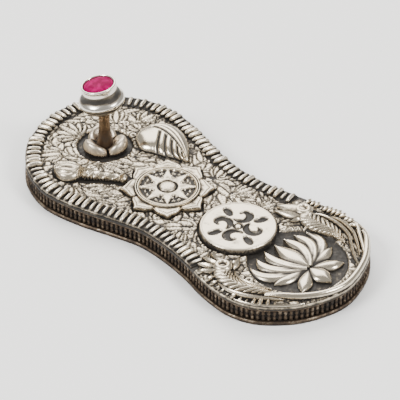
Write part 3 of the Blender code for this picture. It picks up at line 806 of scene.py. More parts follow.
class Workshop:
    """Holds the shared tree, the materials and the finished pieces."""

    def __init__(self) -> None:
        """Starts with no pieces."""
        self.rows = CopyRow()
        self.pieces: list[Piece] = []
        self.made: dict[str, bpy.types.Material] = {}

    def material(self, finish: SilverFinish | StoneFinish) -> bpy.types.Material:
        """Gives a finish's material, made once.

        Args:
            finish: The finish.

        Returns:
            Its material.
        """
        if finish.name not in self.made:
            self.made[finish.name] = finish.build()
        return self.made[finish.name]

    def keep(self, item: bpy.types.Object, finish: SilverFinish | StoneFinish, slot: Slot, *nodes: str,
             wear_and_painted_shading: Optional[np.ndarray] = None, in_map: bool = True, ground: bool = False) -> Piece:
        """Dresses a finished object and files it.

        Args:
            item: The object.
            finish: Its finish.
            slot: The record's slot.
            nodes: The nodes that it stands for.
            wear_and_painted_shading: Its own wear for each point, with painted shade and painted highlight on
                the sole and the knob, where the map of heights doesn't give it.
            in_map: False for what stands above the relief.
            ground: True for the foliage, whose leaves are rubbed bright also beside tall motifs.

        Returns:
            The filed piece.
        """
        item.data.materials.clear()
        item.data.materials.append(self.material(finish))
        piece = Piece(item, finish, slot, nodes, wear_and_painted_shading, in_map, ground)
        self.pieces.append(piece)
        LOG.info("%s: %d faces, %s", item.name, len(item.data.polygons), finish.name)
        return piece


def coordinates(item: bpy.types.Object) -> np.ndarray:
    """Gives an object's points in millimetres.

    Args:
        item: The object.

    Returns:
        One row for each point.
    """
    flat = np.empty(len(item.data.vertices) * 3)
    item.data.vertices.foreach_get("co", flat)
    return flat.reshape(-1, 3) / MM


@dataclass
class Sole:
    """The dark platform with its reeded wall and beaded lip."""

    lip_height: float = 0.9
    wall_inset: float = 0.78
    reed_pitch: float = 1.15
    reed_radius: float = 0.44
    reed_setback: float = 0.26
    bead_radius: float = 0.36
    bead_pitch: float = 0.86
    bead_inset: float = 0.18
    bead_level: float = 0.47

    def core(self) -> Solid:
        """Makes the solid inside the reeds.

        Returns:
            The solid.
        """
        count = 360
        shares = np.arange(count) / count
        rings = []
        for height, inset in ((0.0, -0.02), (0.25, -0.15), (0.7, -0.15), (self.lip_height, 0.05),
                              (self.lip_height + 0.05, self.wall_inset), (SOLE_TOP - 0.3, self.wall_inset),
                              (SOLE_TOP - 0.25, 0.32), (SOLE_TOP, 0.32)):
            flat = EDGE.at(shares, inset)
            rings.append(np.concatenate([flat, np.full((count, 1), height)], axis=1))
        made = Solid()
        made.loft(np.stack(rings))
        return made

    def reed(self) -> Solid:
        """Makes one reed: two swelling halves, one over the other.

        Returns:
            The solid, upright at the origin.
        """
        made = Solid()
        base, top = self.lip_height, SOLE_TOP - 0.22
        rows = []
        for share, swell in ((0.0, 0.55), (0.08, 0.92), (0.28, 1.0), (0.44, 0.8), (0.5, 0.5), (0.56, 0.8),
                             (0.72, 1.0), (0.92, 0.92), (1.0, 0.55)):
            height = base + (top - base) * share
            ring = []
            for step in range(8):
                angle = math.tau * step / 8
                ring.append((self.reed_radius * swell * math.cos(angle),
                             self.reed_radius * swell * math.sin(angle), height))
            rows.append(ring)
        made.loft(np.array(rows))
        return made

    def bead(self) -> Solid:
        """Makes one bead of the lip.

        Returns:
            The solid at the origin.
        """
        made = Solid()
        r = self.bead_radius
        profile = [(0.0, -r), (0.7 * r, -0.7 * r), (r, 0.0), (0.7 * r, 0.7 * r), (0.0, r)]
        made.turned(profile, (0.0, 0.0, 0.0), 8)
        return made

    def build(self, shop: Workshop) -> None:
        """Builds the sole and its wear, with painted contact shadow along the foot of its lip.

        Args:
            shop: Where the finished piece is kept.
        """
        material = shop.material(WALL)
        shares = np.arange(720) / 720
        wall = EDGE.at(shares, self.reed_radius + self.reed_setback)
        reeds = shop.rows.run(wall, True, self.reed(), round(EDGE.length / self.reed_pitch), 0.05, material)
        lip = EDGE.at(shares, self.bead_inset)
        beads = shop.rows.run(lip, True, self.bead(), round(EDGE.length / self.bead_pitch), 0.12,
                              material, SEED + 1, self.bead_level)
        core = self.core().object("core")
        item = merged("sole_wall", [core.data, reeds, beads])
        bpy.data.objects.remove(core, do_unlink=True)
        points = coordinates(item)
        depth = EDGE.depth(points[:, :2])[0]
        # Points that stand out from the wall are lighter, with patina behind them; the lip is darkened
        # towards the floor as painted contact shadow.
        wear_and_painted_shading = smoothstep(0.75, 0.12, depth) * smoothstep(-0.4, 1.4, points[:, 2])
        wear_and_painted_shading = 0.10 + 0.56 * wear_and_painted_shading
        shop.keep(item, WALL, Slot.DARK, "sole", wear_and_painted_shading=wear_and_painted_shading, in_map=False)


# Places and radii of the motifs, and the birds' Y and width that the edge's bands end by

KNOB = np.array([0.568, 27.2])
SUN = np.array([-1.208, 5.72])
DISC = np.array([-0.362, -14.58])
PIT = np.array([0.972, -30.6])
LOTUS_ROOT = np.array([0.972, -33.9])
SUN_REACH, DISC_RADIUS, PIT_RADIUS, RECESS_RADIUS = 10.1, 8.2, 10.6, 6.2
BIRD_HEADS_Y = -20.53
BIRD_WIDTH = 4.7


@dataclass
class Footbed:
    """The plate with its foliage ground, as one relief."""

    cell: float = 0.2
    fine: float = 0.1
    leaf_spacing: float = 1.6
    layers: int = 2
    leaf_length: tuple[float, float] = (2.8, 5.4)
    leaf_width: tuple[float, float] = (1.1, 2.2)
    rise: float = 0.42
    groove: float = 0.20
    curls: int = 110
    recess_floor: float = 4.14
    half_width: float = 20.6
    half_length: float = 44.4
    edge_band: float = 0.08
    border_end: float = -17.6
    x_low: float = -21.0
    y_low: float = -44.6
    heights: np.ndarray = field(init=False)

    def __post_init__(self) -> None:
        """Starts with a level ground."""
        rows, columns = round(-2 * self.y_low / self.fine), round(-2 * self.x_low / self.fine)
        self.heights = np.full((rows, columns), GROUND)

    def grid(self) -> tuple[np.ndarray, np.ndarray]:
        """Gives the X and Y of the map's cells.

        Returns:
            The X and the Y of each cell.
        """
        rows, columns = self.heights.shape
        return np.meshgrid(self.x_low + np.arange(columns) * self.fine,
                           self.y_low + np.arange(rows) * self.fine)

    def window(self, x: float, y: float, reach: float) -> tuple[tuple[slice, slice], np.ndarray, np.ndarray]:
        """Gives the part of the map round a place, with its cells' X and Y from there.

        Args:
            x: The place's X.
            y: The place's Y.
            reach: How far from it.

        Returns:
            The part's slices, and its cells' X and Y from the place.
        """
        columns = slice(max(0, int((x - reach - self.x_low) / self.fine)),
                        max(0, int((x + reach - self.x_low) / self.fine) + 1))
        rows = slice(max(0, int((y - reach - self.y_low) / self.fine)),
                     max(0, int((y + reach - self.y_low) / self.fine) + 1))
        shape = self.heights[rows, columns].shape
        px = self.x_low + (np.arange(shape[1]) + columns.start) * self.fine - x
        py = self.y_low + (np.arange(shape[0]) + rows.start) * self.fine - y
        px, py = np.meshgrid(px, py)
        return (rows, columns), px, py

    def stamp(self, x: float, y: float, heading: float, length: float, width: float, rise: float,
              bend: float = 0.0) -> None:
        """Presses one veined leaf over what is there, with a dark line round it.

        Args:
            x: Its root's X.
            y: Its root's Y.
            heading: Radians from +Y towards +X.
            length: Its length.
            width: Its width.
            rise: Its height above the ground.
            bend: How far its middle swings aside, as a share of its length.
        """
        part, px, py = self.window(x, y, length * 1.1 + width)
        if px.size == 0:
            return
        u = (px * math.sin(heading) + py * math.cos(heading)) / length
        safe = np.clip(u, 0.0, 1.0)
        across = (px * math.cos(heading) - py * math.sin(heading)) - bend * length * np.sin(math.pi * safe)
        half = 0.5 * width * np.sin(math.pi * safe ** 0.75) ** 0.75
        outside = np.hypot(np.maximum(np.abs(across) - half, 0.0), np.abs(u - safe) * length)
        v = across / (half + 1e-6)
        dome = np.clip(1.0 - np.abs(v) ** 2.4, 0.0, 1.0) ** 0.5
        level = GROUND + rise * (0.45 + 0.55 * dome)
        level -= 0.28 * rise * np.exp(-(across / 0.11) ** 2) * (safe < 0.92)
        veins = np.cos(math.tau * (length * safe / 0.75 - 0.45 * np.abs(across)))
        level += 0.13 * rise * veins * dome
        old = self.heights[part]
        dark = np.minimum(old, GROUND - 0.05 + 0.6 * np.maximum(outside - 0.5 * self.groove, 0.0))
        patch = np.where(outside < self.groove, dark, old)
        self.heights[part] = np.where(outside <= 0.0, level, patch)

    def curl(self, x: float, y: float, radius: float) -> None:
        """Presses one small curl with a dark eye.

        Args:
            x: Its middle's X.
            y: Its middle's Y.
            radius: Its radius.
        """
        part, px, py = self.window(x, y, 2.0 * radius)
        if px.size == 0:
            return
        way = np.hypot(px, py)
        from_crest = (way - 0.62 * radius) / (0.40 * radius)
        ring = GROUND + 1.1 * self.rise * np.clip(1.0 - from_crest ** 2, 0, 1) ** 0.5
        old = self.heights[part]
        self.heights[part] = np.where(way < radius, ring, np.where(way < radius + 0.18, GROUND - 0.05, old))

    def foliage(self) -> None:
        """Fills the ground with sprays of leaves and curls, laid one over another."""
        draw = np.random.default_rng(SEED)
        spots = [(x, y) for y in np.arange(self.y_low, -self.y_low, self.leaf_spacing)
                 for x in np.arange(self.x_low, -self.x_low, self.leaf_spacing)]
        for index in np.concatenate([draw.permutation(len(spots)) for _ in range(self.layers)]):
            x, y = np.array(spots[index]) + draw.uniform(-0.5, 0.5, 2) * self.leaf_spacing
            heading = 2.1 * math.sin(0.23 * x + 0.9) + 2.4 * math.cos(0.19 * y + 0.3 * math.sin(0.4 * x))
            heading += draw.normal(0.0, 0.35)
            length = draw.uniform(*self.leaf_length)
            self.stamp(x, y, heading, length, draw.uniform(*self.leaf_width),
                       self.rise * draw.uniform(0.55, 1.15), draw.uniform(-0.14, 0.14))
        for _ in range(self.curls):
            self.curl(draw.uniform(-19.0, 19.0), draw.uniform(-30.0, 42.0), draw.uniform(0.6, 1.05))

    # x, y, heading in degrees, leaves, spread in degrees, length, width
    FANS = (
        (-9.2, -6.5, 250.0, 5, 74.0, 4.8, 1.1),
        (8.6, -5.6, 105.0, 5, 80.0, 4.6, 1.1),
        (-9.0, 17.0, 300.0, 5, 90.0, 4.8, 1.4),
        (9.5, 1.5, 60.0, 4, 70.0, 4.4, 1.3),
        (-11.0, 6.5, 240.0, 3, 60.0, 3.4, 1.0),
        (-1.2, 34.2, 355.0, 7, 150.0, 5.6, 1.5),
        (8.0, 31.5, 45.0, 5, 90.0, 5.0, 1.5),
        (-8.5, 31.5, 305.0, 5, 100.0, 5.2, 1.5),
        (-15.0, 21.0, 215.0, 4, 80.0, 4.2, 1.2),
        (-4.6, 22.8, 170.0, 5, 70.0, 6.4, 1.5),
        (12.5, 28.0, 80.0, 4, 90.0, 4.2, 1.4),
        (-9.8, -15.5, 262.0, 6, 70.0, 5.0, 0.9),
        (8.6, -13.0, 95.0, 4, 60.0, 4.0, 0.9),
    )

    def fans(self) -> None:
        """Presses the larger fans of leaves between the motifs."""
        for x, y, heading, count, spread, length, width in self.FANS:
            order = sorted(range(count), key=lambda step: -abs(step - (count - 1) / 2))
            for step in order:
                share = step / max(1, count - 1) - 0.5
                turn = math.radians(heading + share * spread)
                self.stamp(x, y, turn, length * (1.0 - 0.5 * abs(share)), width, 1.2 * self.rise,
                           0.16 * share)

    def hollows(self) -> None:
        """Sinks the ground round the motifs and cuts the two recesses."""
        x, y = self.grid()
        knob = np.hypot(x - KNOB[0], y - KNOB[1])
        pit = np.hypot(x - PIT[0], y - PIT[1])
        disc = np.hypot(x - DISC[0], y - DISC[1])
        angle = np.arctan2(y - SUN[1], x - SUN[0])
        lobe = np.abs(((angle / (math.tau / 8)) + 0.5) % 1.0 - 0.5) * 2.0
        sun = np.hypot(x - SUN[0], y - SUN[1]) / (1.0 - 0.24 * lobe)
        level = self.heights
        foot = np.array(Mace.start)
        reach = np.array(Mace.head) - foot
        share = ((x - foot[0]) * reach[0] + (y - foot[1]) * reach[1]) / (reach ** 2).sum()
        share = np.clip(share, 0.0, 1.0)
        mace = np.hypot(x - foot[0] - share * reach[0], y - foot[1] - share * reach[1]) - 1.6 * share
        for way, radius in ((disc, DISC_RADIUS), (sun, SUN_REACH), (mace, 1.3)):
            level = np.minimum(level, GROUND - 0.25 + 0.9 * smoothstep(radius + 0.1, radius + 0.8, way))
        rough = 0.10 * np.sin(2.9 * x + 1.3 * np.sin(1.7 * y)) * np.sin(3.3 * y + 1.1 * np.sin(2.1 * x))
        for way, radius in ((pit, PIT_RADIUS), (knob, RECESS_RADIUS)):
            floor = self.recess_floor + rough + 1.0 * smoothstep(radius - 0.3, radius + 0.3, way)
            level = np.where(way < radius + 0.35, np.minimum(level, floor), level)
        self.heights = level

    def sample(self, points: np.ndarray) -> np.ndarray:
        """Reads the map between its cells.

        Args:
            points: Places in the plan.

        Returns:
            The level at each.
        """
        column = np.clip((points[:, 0] - self.x_low) / self.fine, 0, self.heights.shape[1] - 1.001)
        row = np.clip((points[:, 1] - self.y_low) / self.fine, 0, self.heights.shape[0] - 1.001)
        c, r = column.astype(int), row.astype(int)
        fc, fr = column - c, row - r
        h = self.heights
        return ((h[r, c] * (1 - fc) + h[r, c + 1] * fc) * (1 - fr)
                + (h[r + 1, c] * (1 - fc) + h[r + 1, c + 1] * fc) * fr)

    def build(self, shop: Workshop) -> None:
        """Builds the plate as one closed solid.

        Args:
            shop: Where the finished piece is kept.
        """
        self.foliage()
        self.fans()
        self.hollows()
        self.heights = 0.65 * self.heights + 0.35 * blurred(self.heights, 1)
        columns = np.arange(-self.half_width, self.half_width + 0.01, self.cell)
        rows = np.arange(-self.half_length, self.half_length + 0.01, self.cell)
        gx, gy = np.meshgrid(columns, rows)
        points = np.stack([gx.ravel(), gy.ravel()], axis=1)
        depth, near = EDGE.depth(points)
        inside = (depth > self.edge_band).reshape(gx.shape)
        keep = inside[:-1, :-1] | inside[1:, :-1] | inside[:-1, 1:] | inside[1:, 1:]
        outer = depth < self.edge_band
        points[outer] = EDGE.points[near[outer]]
        level = self.sample(points)
        rolled = smoothstep(0.05, 0.5, np.maximum(depth, 0.0))
        level = (PLATE_TOP - 0.1) * (1 - rolled) + level * rolled
        under_border = smoothstep(3.6, 3.35, depth) * (points[:, 1] > self.border_end)
        highest = PLATE_TOP - 0.25 + 0.6 * (1.0 - under_border)
        level = np.where(under_border > 0.0, np.minimum(level, highest), level)
        width = len(columns)
        faces = []
        for row, column in zip(*np.nonzero(keep)):
            corner = row * width + column
            faces.append((corner, corner + 1, corner + width + 1, corner + width))
        mesh = bpy.data.meshes.new("footbed")
        solid = np.concatenate([points, level[:, None]], axis=1) * MM
        mesh.from_pydata(solid.tolist(), [], faces)
        build = bmesh.new()
        build.from_mesh(mesh)
        loose = [vert for vert in build.verts if not vert.link_faces]
        bmesh.ops.delete(build, geom=loose, context="VERTS")
        bmesh.ops.remove_doubles(build, verts=[vert for vert in build.verts if vert.is_boundary], dist=1e-5)
        rim = [edge for edge in build.edges if edge.is_boundary]
        skirt = bmesh.ops.extrude_edge_only(build, edges=rim)["geom"]
        for part in skirt:
            if isinstance(part, bmesh.types.BMVert):
                part.co.z = PLATE_BOTTOM * MM
        bottom = [part for part in skirt if isinstance(part, bmesh.types.BMEdge)]
        bmesh.ops.contextual_create(build, geom=bottom)
        bmesh.ops.recalc_face_normals(build, faces=build.faces)
        build.to_mesh(mesh)
        build.free()
        shop.keep(link_mesh("foliage_plate", mesh, 60.0), CAST, Slot.OXIDISED, "footbed", ground=True)


@dataclass
class RopeBorder:
    """The roped edge: a dark bed with a rounded bar at each pitch."""

    inset: float = 0.15
    width: float = 3.4
    pitch: float = 1.6
    bar_width: float = 1.0
    past_right: float = 0.93 * BIRD_WIDTH
    past_left: float = 0.71 * BIRD_WIDTH

    # place across from the middle, width as a share, crest above the relief's base
    BAR = (
        (-1.76, 0.50, -0.25), (-1.68, 0.80, 0.02), (-1.45, 0.98, 0.26), (-1.1, 1.0, 0.44), (-0.4, 1.0, 0.60),
        (0.4, 1.0, 0.66), (1.1, 0.98, 0.58), (1.5, 0.80, 0.42), (1.68, 0.35, 0.1),
    )
    # offset from the inset, level
    BED = (
        (0.0, PLATE_TOP - 0.3), (0.0, 4.82), (0.25, 4.90), (0.45, 4.78), (3.0, 4.74), (3.2, 4.92),
        (3.4, 4.86), (3.4, PLATE_TOP - 0.3),
    )

    def bar(self) -> Solid:
        """Makes one bar, its outer end low and its crest inwards of the middle.

        Returns:
            The solid at the origin.
        """
        made = Solid()
        rows = spline(self.BAR, 13)
        spine = np.stack([np.zeros(len(rows)), rows[:, 0]], axis=1)
        made.crowned(spine, self.bar_width * rows[:, 1], rows[:, 2] + 0.45, RELIEF_BASE - 0.45, 0.2, 8, 0.5)
        return made

    def build(self, shop: Workshop) -> None:
        """Builds the border from the right bird round the toe to the left bird.

        Args:
            shop: Where the finished piece is kept.
        """
        inner = self.inset + self.width
        start = EDGE.share_at(BIRD_HEADS_Y + self.past_right, Side.RIGHT, inner)
        end = EDGE.share_at(BIRD_HEADS_Y + self.past_left, Side.LEFT, inner)
        length = (end - start) * EDGE.length
        count = round(length / self.pitch)
        half = 0.5 * self.pitch / EDGE.length
        path = EDGE.at(np.linspace(start + half, end - half, 900), self.inset + self.width / 2)
        bars = shop.rows.run(path, False, self.bar(), count, 0.05, shop.material(ROPED), SEED + 2)
        bed = Solid()
        shares = np.linspace(start, end, 420)
        rings = []
        for offset, height in self.BED:
            flat = EDGE.at(shares, self.inset + offset)
            rings.append(np.concatenate([flat, np.full((len(shares), 1), height)], axis=1))
        bed.loft(np.stack(rings, axis=1))
        core = bed.object("bed")
        item = merged("roped_border", [core.data, bars])
        bpy.data.objects.remove(core, do_unlink=True)
        points = coordinates(item)
        wear_and_painted_shading = 0.02 + 0.9 * smoothstep(4.98, 5.5, points[:, 2])
        outer = smoothstep(0.42, 0.25, EDGE.depth(points[:, :2])[0]) * smoothstep(4.6, 4.8, points[:, 2])
        shop.keep(item, ROPED, Slot.OXIDISED, "rope_border", wear_and_painted_shading=np.maximum(wear_and_painted_shading, 0.5 * outer))


@dataclass
class HeelRim:
    """The bright band round the heel, the thin line outside it and the branch with a hook at its right."""

    width: float = 1.5
    rise: float = 1.0
    past_right: float = 2.845 * BIRD_WIDTH
    past_left: float = 3.275 * BIRD_WIDTH

    HOOK = ((9.6, -41.2), (12.2, -39.0), (14.6, -36.0), (16.4, -33.6), (17.6, -32.0), (17.2, -30.7),
            (16.2, -30.9))

    def build(self, shop: Workshop) -> None:
        """Builds the band and its companions.

        Args:
            shop: Where the finished piece is kept.
        """
        made = Solid()
        right = EDGE.share_at(BIRD_HEADS_Y - self.past_right, Side.RIGHT)
        left = EDGE.share_at(BIRD_HEADS_Y - self.past_left, Side.LEFT) - 1.0
        turn = np.linspace(0.0, 1.0, 110)
        insets = np.interp(turn, (0.0, 0.5, 0.66, 0.82, 1.0), (0.08, 0.08, 0.5, 1.9, 3.3))
        insets = np.convolve(np.pad(insets, 6, mode="edge"), np.ones(13) / 13, mode="valid")
        spine = EDGE.at(right + (left - right) * turn, insets + self.width / 2)
        taper = 0.3 + 0.7 * np.sin(math.pi * np.minimum(1.0, 7.0 * np.minimum(turn, 1.0 - turn)) / 2)
        widths = self.width * (0.5 + 0.5 * taper)
        made.crowned(spine, widths, self.rise * taper, RELIEF_BASE - 0.1, 0.5, 10, 0.5)
        line = EDGE.at(np.linspace(-0.045, left - 0.03, 70), 0.32)
        grow = 0.25 + 0.75 * np.sin(math.pi * np.linspace(0.02, 0.98, 70)) ** 0.5
        made.crowned(line, 0.62 * grow, 0.55 * grow, PLATE_TOP, 0.3, 6)
        hook = spline(self.HOOK, 60)
        grow = 0.45 + 0.55 * np.sin(math.pi * np.linspace(0.03, 0.97, 60)) ** 0.6
        made.crowned(hook, 0.95 * grow, 0.95 * grow, RELIEF_BASE - 0.1, 0.5, 8, 0.5)
        shop.keep(made.object("heel_band"), SHELL, Slot.OXIDISED, "heel_rim")


@dataclass
class SunMedallion:
    """Eight pointed petals under a wheel with a star, lace between its tips, and a hub."""

    petals: int = 8
    wheel: float = 7.06
    segments: int = 256
    star_valley: float = 3.3
    star_tip: float = 6.2

    PROFILE_RADII = (0.0, 0.9, 1.5, 1.85, 1.95, 2.2, 2.3, 2.6, 6.12, 6.2, 6.3, 6.52, 6.58, 6.74, 6.8,
                     7.0, 7.06)
    PROFILE_LEVELS = (1.2, 1.15, 1.0, 0.72, 0.45, 0.45, 0.84, 0.84, 0.84, 0.50, 0.86, 0.86, 0.50, 0.50, 0.92,
                      0.92, 0.60)
    # place from the wheel to the petals' outline, level, and how much lower the valleys are
    PETAL_RINGS = (
        (0.03, 0.38, 0.22), (0.10, 0.50, 0.22), (0.25, 0.52, 0.22), (0.45, 0.53, 0.22), (0.60, 0.56, 0.22),
        (0.68, 0.44, 0.2), (0.76, 0.57, 0.22), (0.86, 0.58, 0.22), (0.93, 0.56, 0.22), (0.98, 0.50, 0.0),
        (1.0, 0.40, 0.0), (1.0, -0.6, 0.0),
    )

    def lobe(self, angle: np.ndarray) -> np.ndarray:
        """Gives 0 at a petal's tip and 1 in the valley beside it."""
        return np.abs(((angle / (math.tau / self.petals)) + 0.5) % 1.0 - 0.5) * 2.0

    def reach(self, angle: np.ndarray) -> np.ndarray:
        """Gives the petals' outline at an angle: ogee sides and a sharp tip.

        Args:
            angle: Angles in radians.

        Returns:
            The outline's radius at each.
        """
        shape = np.interp(self.lobe(angle), (0.0, 0.10, 0.30, 0.60, 0.85, 1.0),
                          (1.0, 0.955, 0.90, 0.865, 0.82, 0.775))
        return SUN_REACH * shape

    def level(self, radius: np.ndarray, angle: np.ndarray) -> np.ndarray:
        """Gives the wheel's height above the relief's base inside its rim.

        Args:
            radius: Distances from the middle.
            angle: Angles in radians.

        Returns:
            The height at each.
        """
        level = np.interp(radius, self.PROFILE_RADII, self.PROFILE_LEVELS)
        lobe = self.lobe(angle)
        edge = self.star_valley + (self.star_tip - self.star_valley) * (1.0 - lobe) ** 2.0
        gap = smoothstep(0.0, 0.22, radius - edge) * smoothstep(6.14, 6.0, radius)
        lace = np.maximum(0.0, np.cos(math.tau * (radius - 3.9) / 1.08)) * np.cos(1.5 * math.pi * lobe) ** 2
        level = level - gap * (0.44 - 0.42 * lace)
        outline = np.exp(-((radius - edge + 0.28) / 0.09) ** 2) * smoothstep(2.5, 2.7, radius)
        return level - 0.12 * outline * (radius < 6.1)

    def build(self, shop: Workshop) -> None:
        """Builds the medallion as one relief on a round grid.

        Args:
            shop: Where the finished piece is kept.
        """
        angles = np.linspace(0.0, math.tau, self.segments, endpoint=False)
        circle = np.stack([np.cos(angles), np.sin(angles)], axis=1)
        rings = []
        for radius in np.concatenate([np.arange(0.12, self.wheel, 0.12), [self.wheel]]):
            height = self.level(np.full_like(angles, radius), angles)
            rings.append(np.concatenate([radius * circle, height[:, None]], axis=1))
        valley = smoothstep(0.82, 1.0, self.lobe(angles))
        reach = self.reach(angles)
        for share, rise, cut in self.PETAL_RINGS:
            radius = self.wheel + (reach - self.wheel) * share
            height = rise - cut * valley
            rings.append(np.concatenate([radius[:, None] * circle, height[:, None]], axis=1))
        made = Solid()
        made.loft(np.stack(rings) + np.array([SUN[0], SUN[1], RELIEF_BASE]))
        shop.keep(made.object("sun_wheel", 50.0), CAST, Slot.OXIDISED, "sun_medallion")


@dataclass
class RoundDisc:
    """The polished disc with a dark engraved rosette of scrolls."""

    scrolls: int = 4
    depth: float = 0.45

    def engraved(self, x: np.ndarray, y: np.ndarray) -> np.ndarray:
        """Gives how deeply each place is engraved, from 0 to 1.

        Args:
            x: X from the disc's middle.
            y: Y from the disc's middle.

        Returns:
            The depth at each place.
        """
        result = np.zeros_like(x)
        way = np.linspace(0.0, 1.0, 120)
        angle = math.radians(20.0) + 4.7 * way
        spiral = 2.25 * (1.0 - 0.66 * way)
        path_x = 3.75 + spiral * np.cos(angle + 2.2)
        path_y = 0.35 + spiral * np.sin(angle + 2.2)
        half = 0.24 + 0.58 * np.sin(math.pi * np.clip(1.12 * way, 0, 1)) ** 0.8
        for turn in range(self.scrolls):
            a = math.tau * turn / self.scrolls + 0.4
            px = path_x * math.cos(a) - path_y * math.sin(a)
            py = path_x * math.sin(a) + path_y * math.cos(a)
            gap = np.sqrt((x[:, None] - px[None]) ** 2 + (y[:, None] - py[None]) ** 2) - half[None]
            result = np.maximum(result, smoothstep(0.10, -0.10, gap.min(axis=1)))
            b = a + math.tau / (2 * self.scrolls)
            along = x * math.cos(b) + y * math.sin(b)
            across = -x * math.sin(b) + y * math.cos(b)
            drop = np.hypot((along - 5.30) / 2.3, across / 1.25) - 0.66
            result = np.maximum(result, smoothstep(0.12, -0.12, drop))
        centre = np.abs(np.hypot(x, y) - 0.85) - 0.24
        return np.maximum(result, smoothstep(0.1, -0.1, centre))

    def build(self, shop: Workshop) -> None:
        """Builds the disc on a round grid.

        Args:
            shop: Where the finished piece is kept.
        """
        count = 256
        angles = np.linspace(0.0, math.tau, count, endpoint=False)
        radii = np.concatenate([np.arange(0.1, 7.45, 0.115), [7.5, 7.62, 7.75, 7.9, 8.05, 8.15, 8.2, 8.2]])
        rise = np.interp(radii, (0.0, 7.45, 7.55, 7.68, 7.85, 8.05, 8.2),
                         (0.86, 0.86, 0.80, 0.92, 0.94, 0.86, 0.62))
        rise[-1] = -0.6
        rings = []
        for radius, height in zip(radii, rise):
            x, y = radius * np.cos(angles), radius * np.sin(angles)
            level = np.full(count, height)
            if radius < 7.4:
                level = level - self.depth * self.engraved(x, y)
            rings.append(np.stack([x, y, level], axis=1))
        made = Solid()
        made.loft(np.stack(rings) + np.array([DISC[0], DISC[1], RELIEF_BASE]))
        item = made.object("engraved_disc", 50.0)
        height = coordinates(item)[:, 2] - RELIEF_BASE
        shop.keep(item, PLATE, Slot.OXIDISED, "round_disc", wear_and_painted_shading=smoothstep(0.42, 0.84, height) * 0.92)


@dataclass
class Lotus:
    """The open lotus in the heel's pit, each petal over the one outside it."""

    floor: float = 4.0

    # control x, control y, tip x, tip y, width, base, rise, from the back to the front
    FAN = (
        (10.6, 2.4, 8.4, 8.8, 2.9, 4.15, 1.00),
        (8.1, 3.8, 5.6, 9.8, 2.9, 4.42, 0.98),
        (4.9, 4.2, 2.9, 10.2, 2.8, 4.68, 0.92),
    )
    # heading in degrees, length, width, base, rise, widest share
    SINGLES = (
        (79.0, 9.0, 3.1, 4.10, 1.00, 0.62),
        (-79.0, 9.0, 3.1, 4.10, 1.00, 0.62),
        (119.0, 7.6, 3.3, 4.25, 1.05, 0.60),
        (-122.0, 7.8, 3.3, 4.25, 1.05, 0.60),
        (180.0, 6.2, 4.2, 4.50, 1.10, 0.50),
        (0.0, 10.0, 4.2, 4.86, 0.98, 0.46),
    )

    def fan_petal(self, made: Solid, side: int, row: Sequence[float]) -> None:
        """Adds one curved petal of the fan.

        Args:
            made: What the petal is added to.
            side: 1 for the right half, -1 for the left.
            row: A row of FAN.
        """
        control_x, control_y, tip_x, tip_y, width, base, rise = row
        t = np.linspace(0.0, 1.0, 26)
        start = np.array([0.35 * side, 0.5])
        control, tip = np.array([side * control_x, control_y]), np.array([side * tip_x, tip_y])
        near = ((1 - t) ** 2)[:, None] * start + (2 * t * (1 - t))[:, None] * control
        path = near + (t ** 2)[:, None] * tip
        swell = np.sin(math.pi * np.clip(0.12 + 0.84 * t, 0, 1)) ** 0.42
        swell = swell * np.clip((1.0 - t) / 0.16, 0.0, 1.0) ** 0.55
        heights = rise * (0.5 + 0.5 * np.sin(math.pi * np.clip(t + 0.05, 0, 1)))
        rib = (lambda u, v: -0.05 * np.cos(8.0 * v))
        widths = np.maximum(width * swell, 0.15)
        made.crowned(LOTUS_ROOT + path, widths, heights, base, base - self.floor, 12, 0.5, rib)

    def build(self, shop: Workshop) -> None:
        """Builds the petals from the back to the front.

        Args:
            shop: Where the finished piece is kept.
        """
        made = Solid()
        for row in self.FAN:
            for side in (1, -1):
                self.fan_petal(made, side, row)
        for heading, length, width, base, rise, fullest in self.SINGLES:
            made.leaf(LOTUS_ROOT, heading, length, width, rise, base, rib=0.07, steps=24, arc=16,
                      fullest=fullest, skirt=base - self.floor)
        shop.keep(made.object("lotus_petals"), SHELL, Slot.OXIDISED, "lotus")


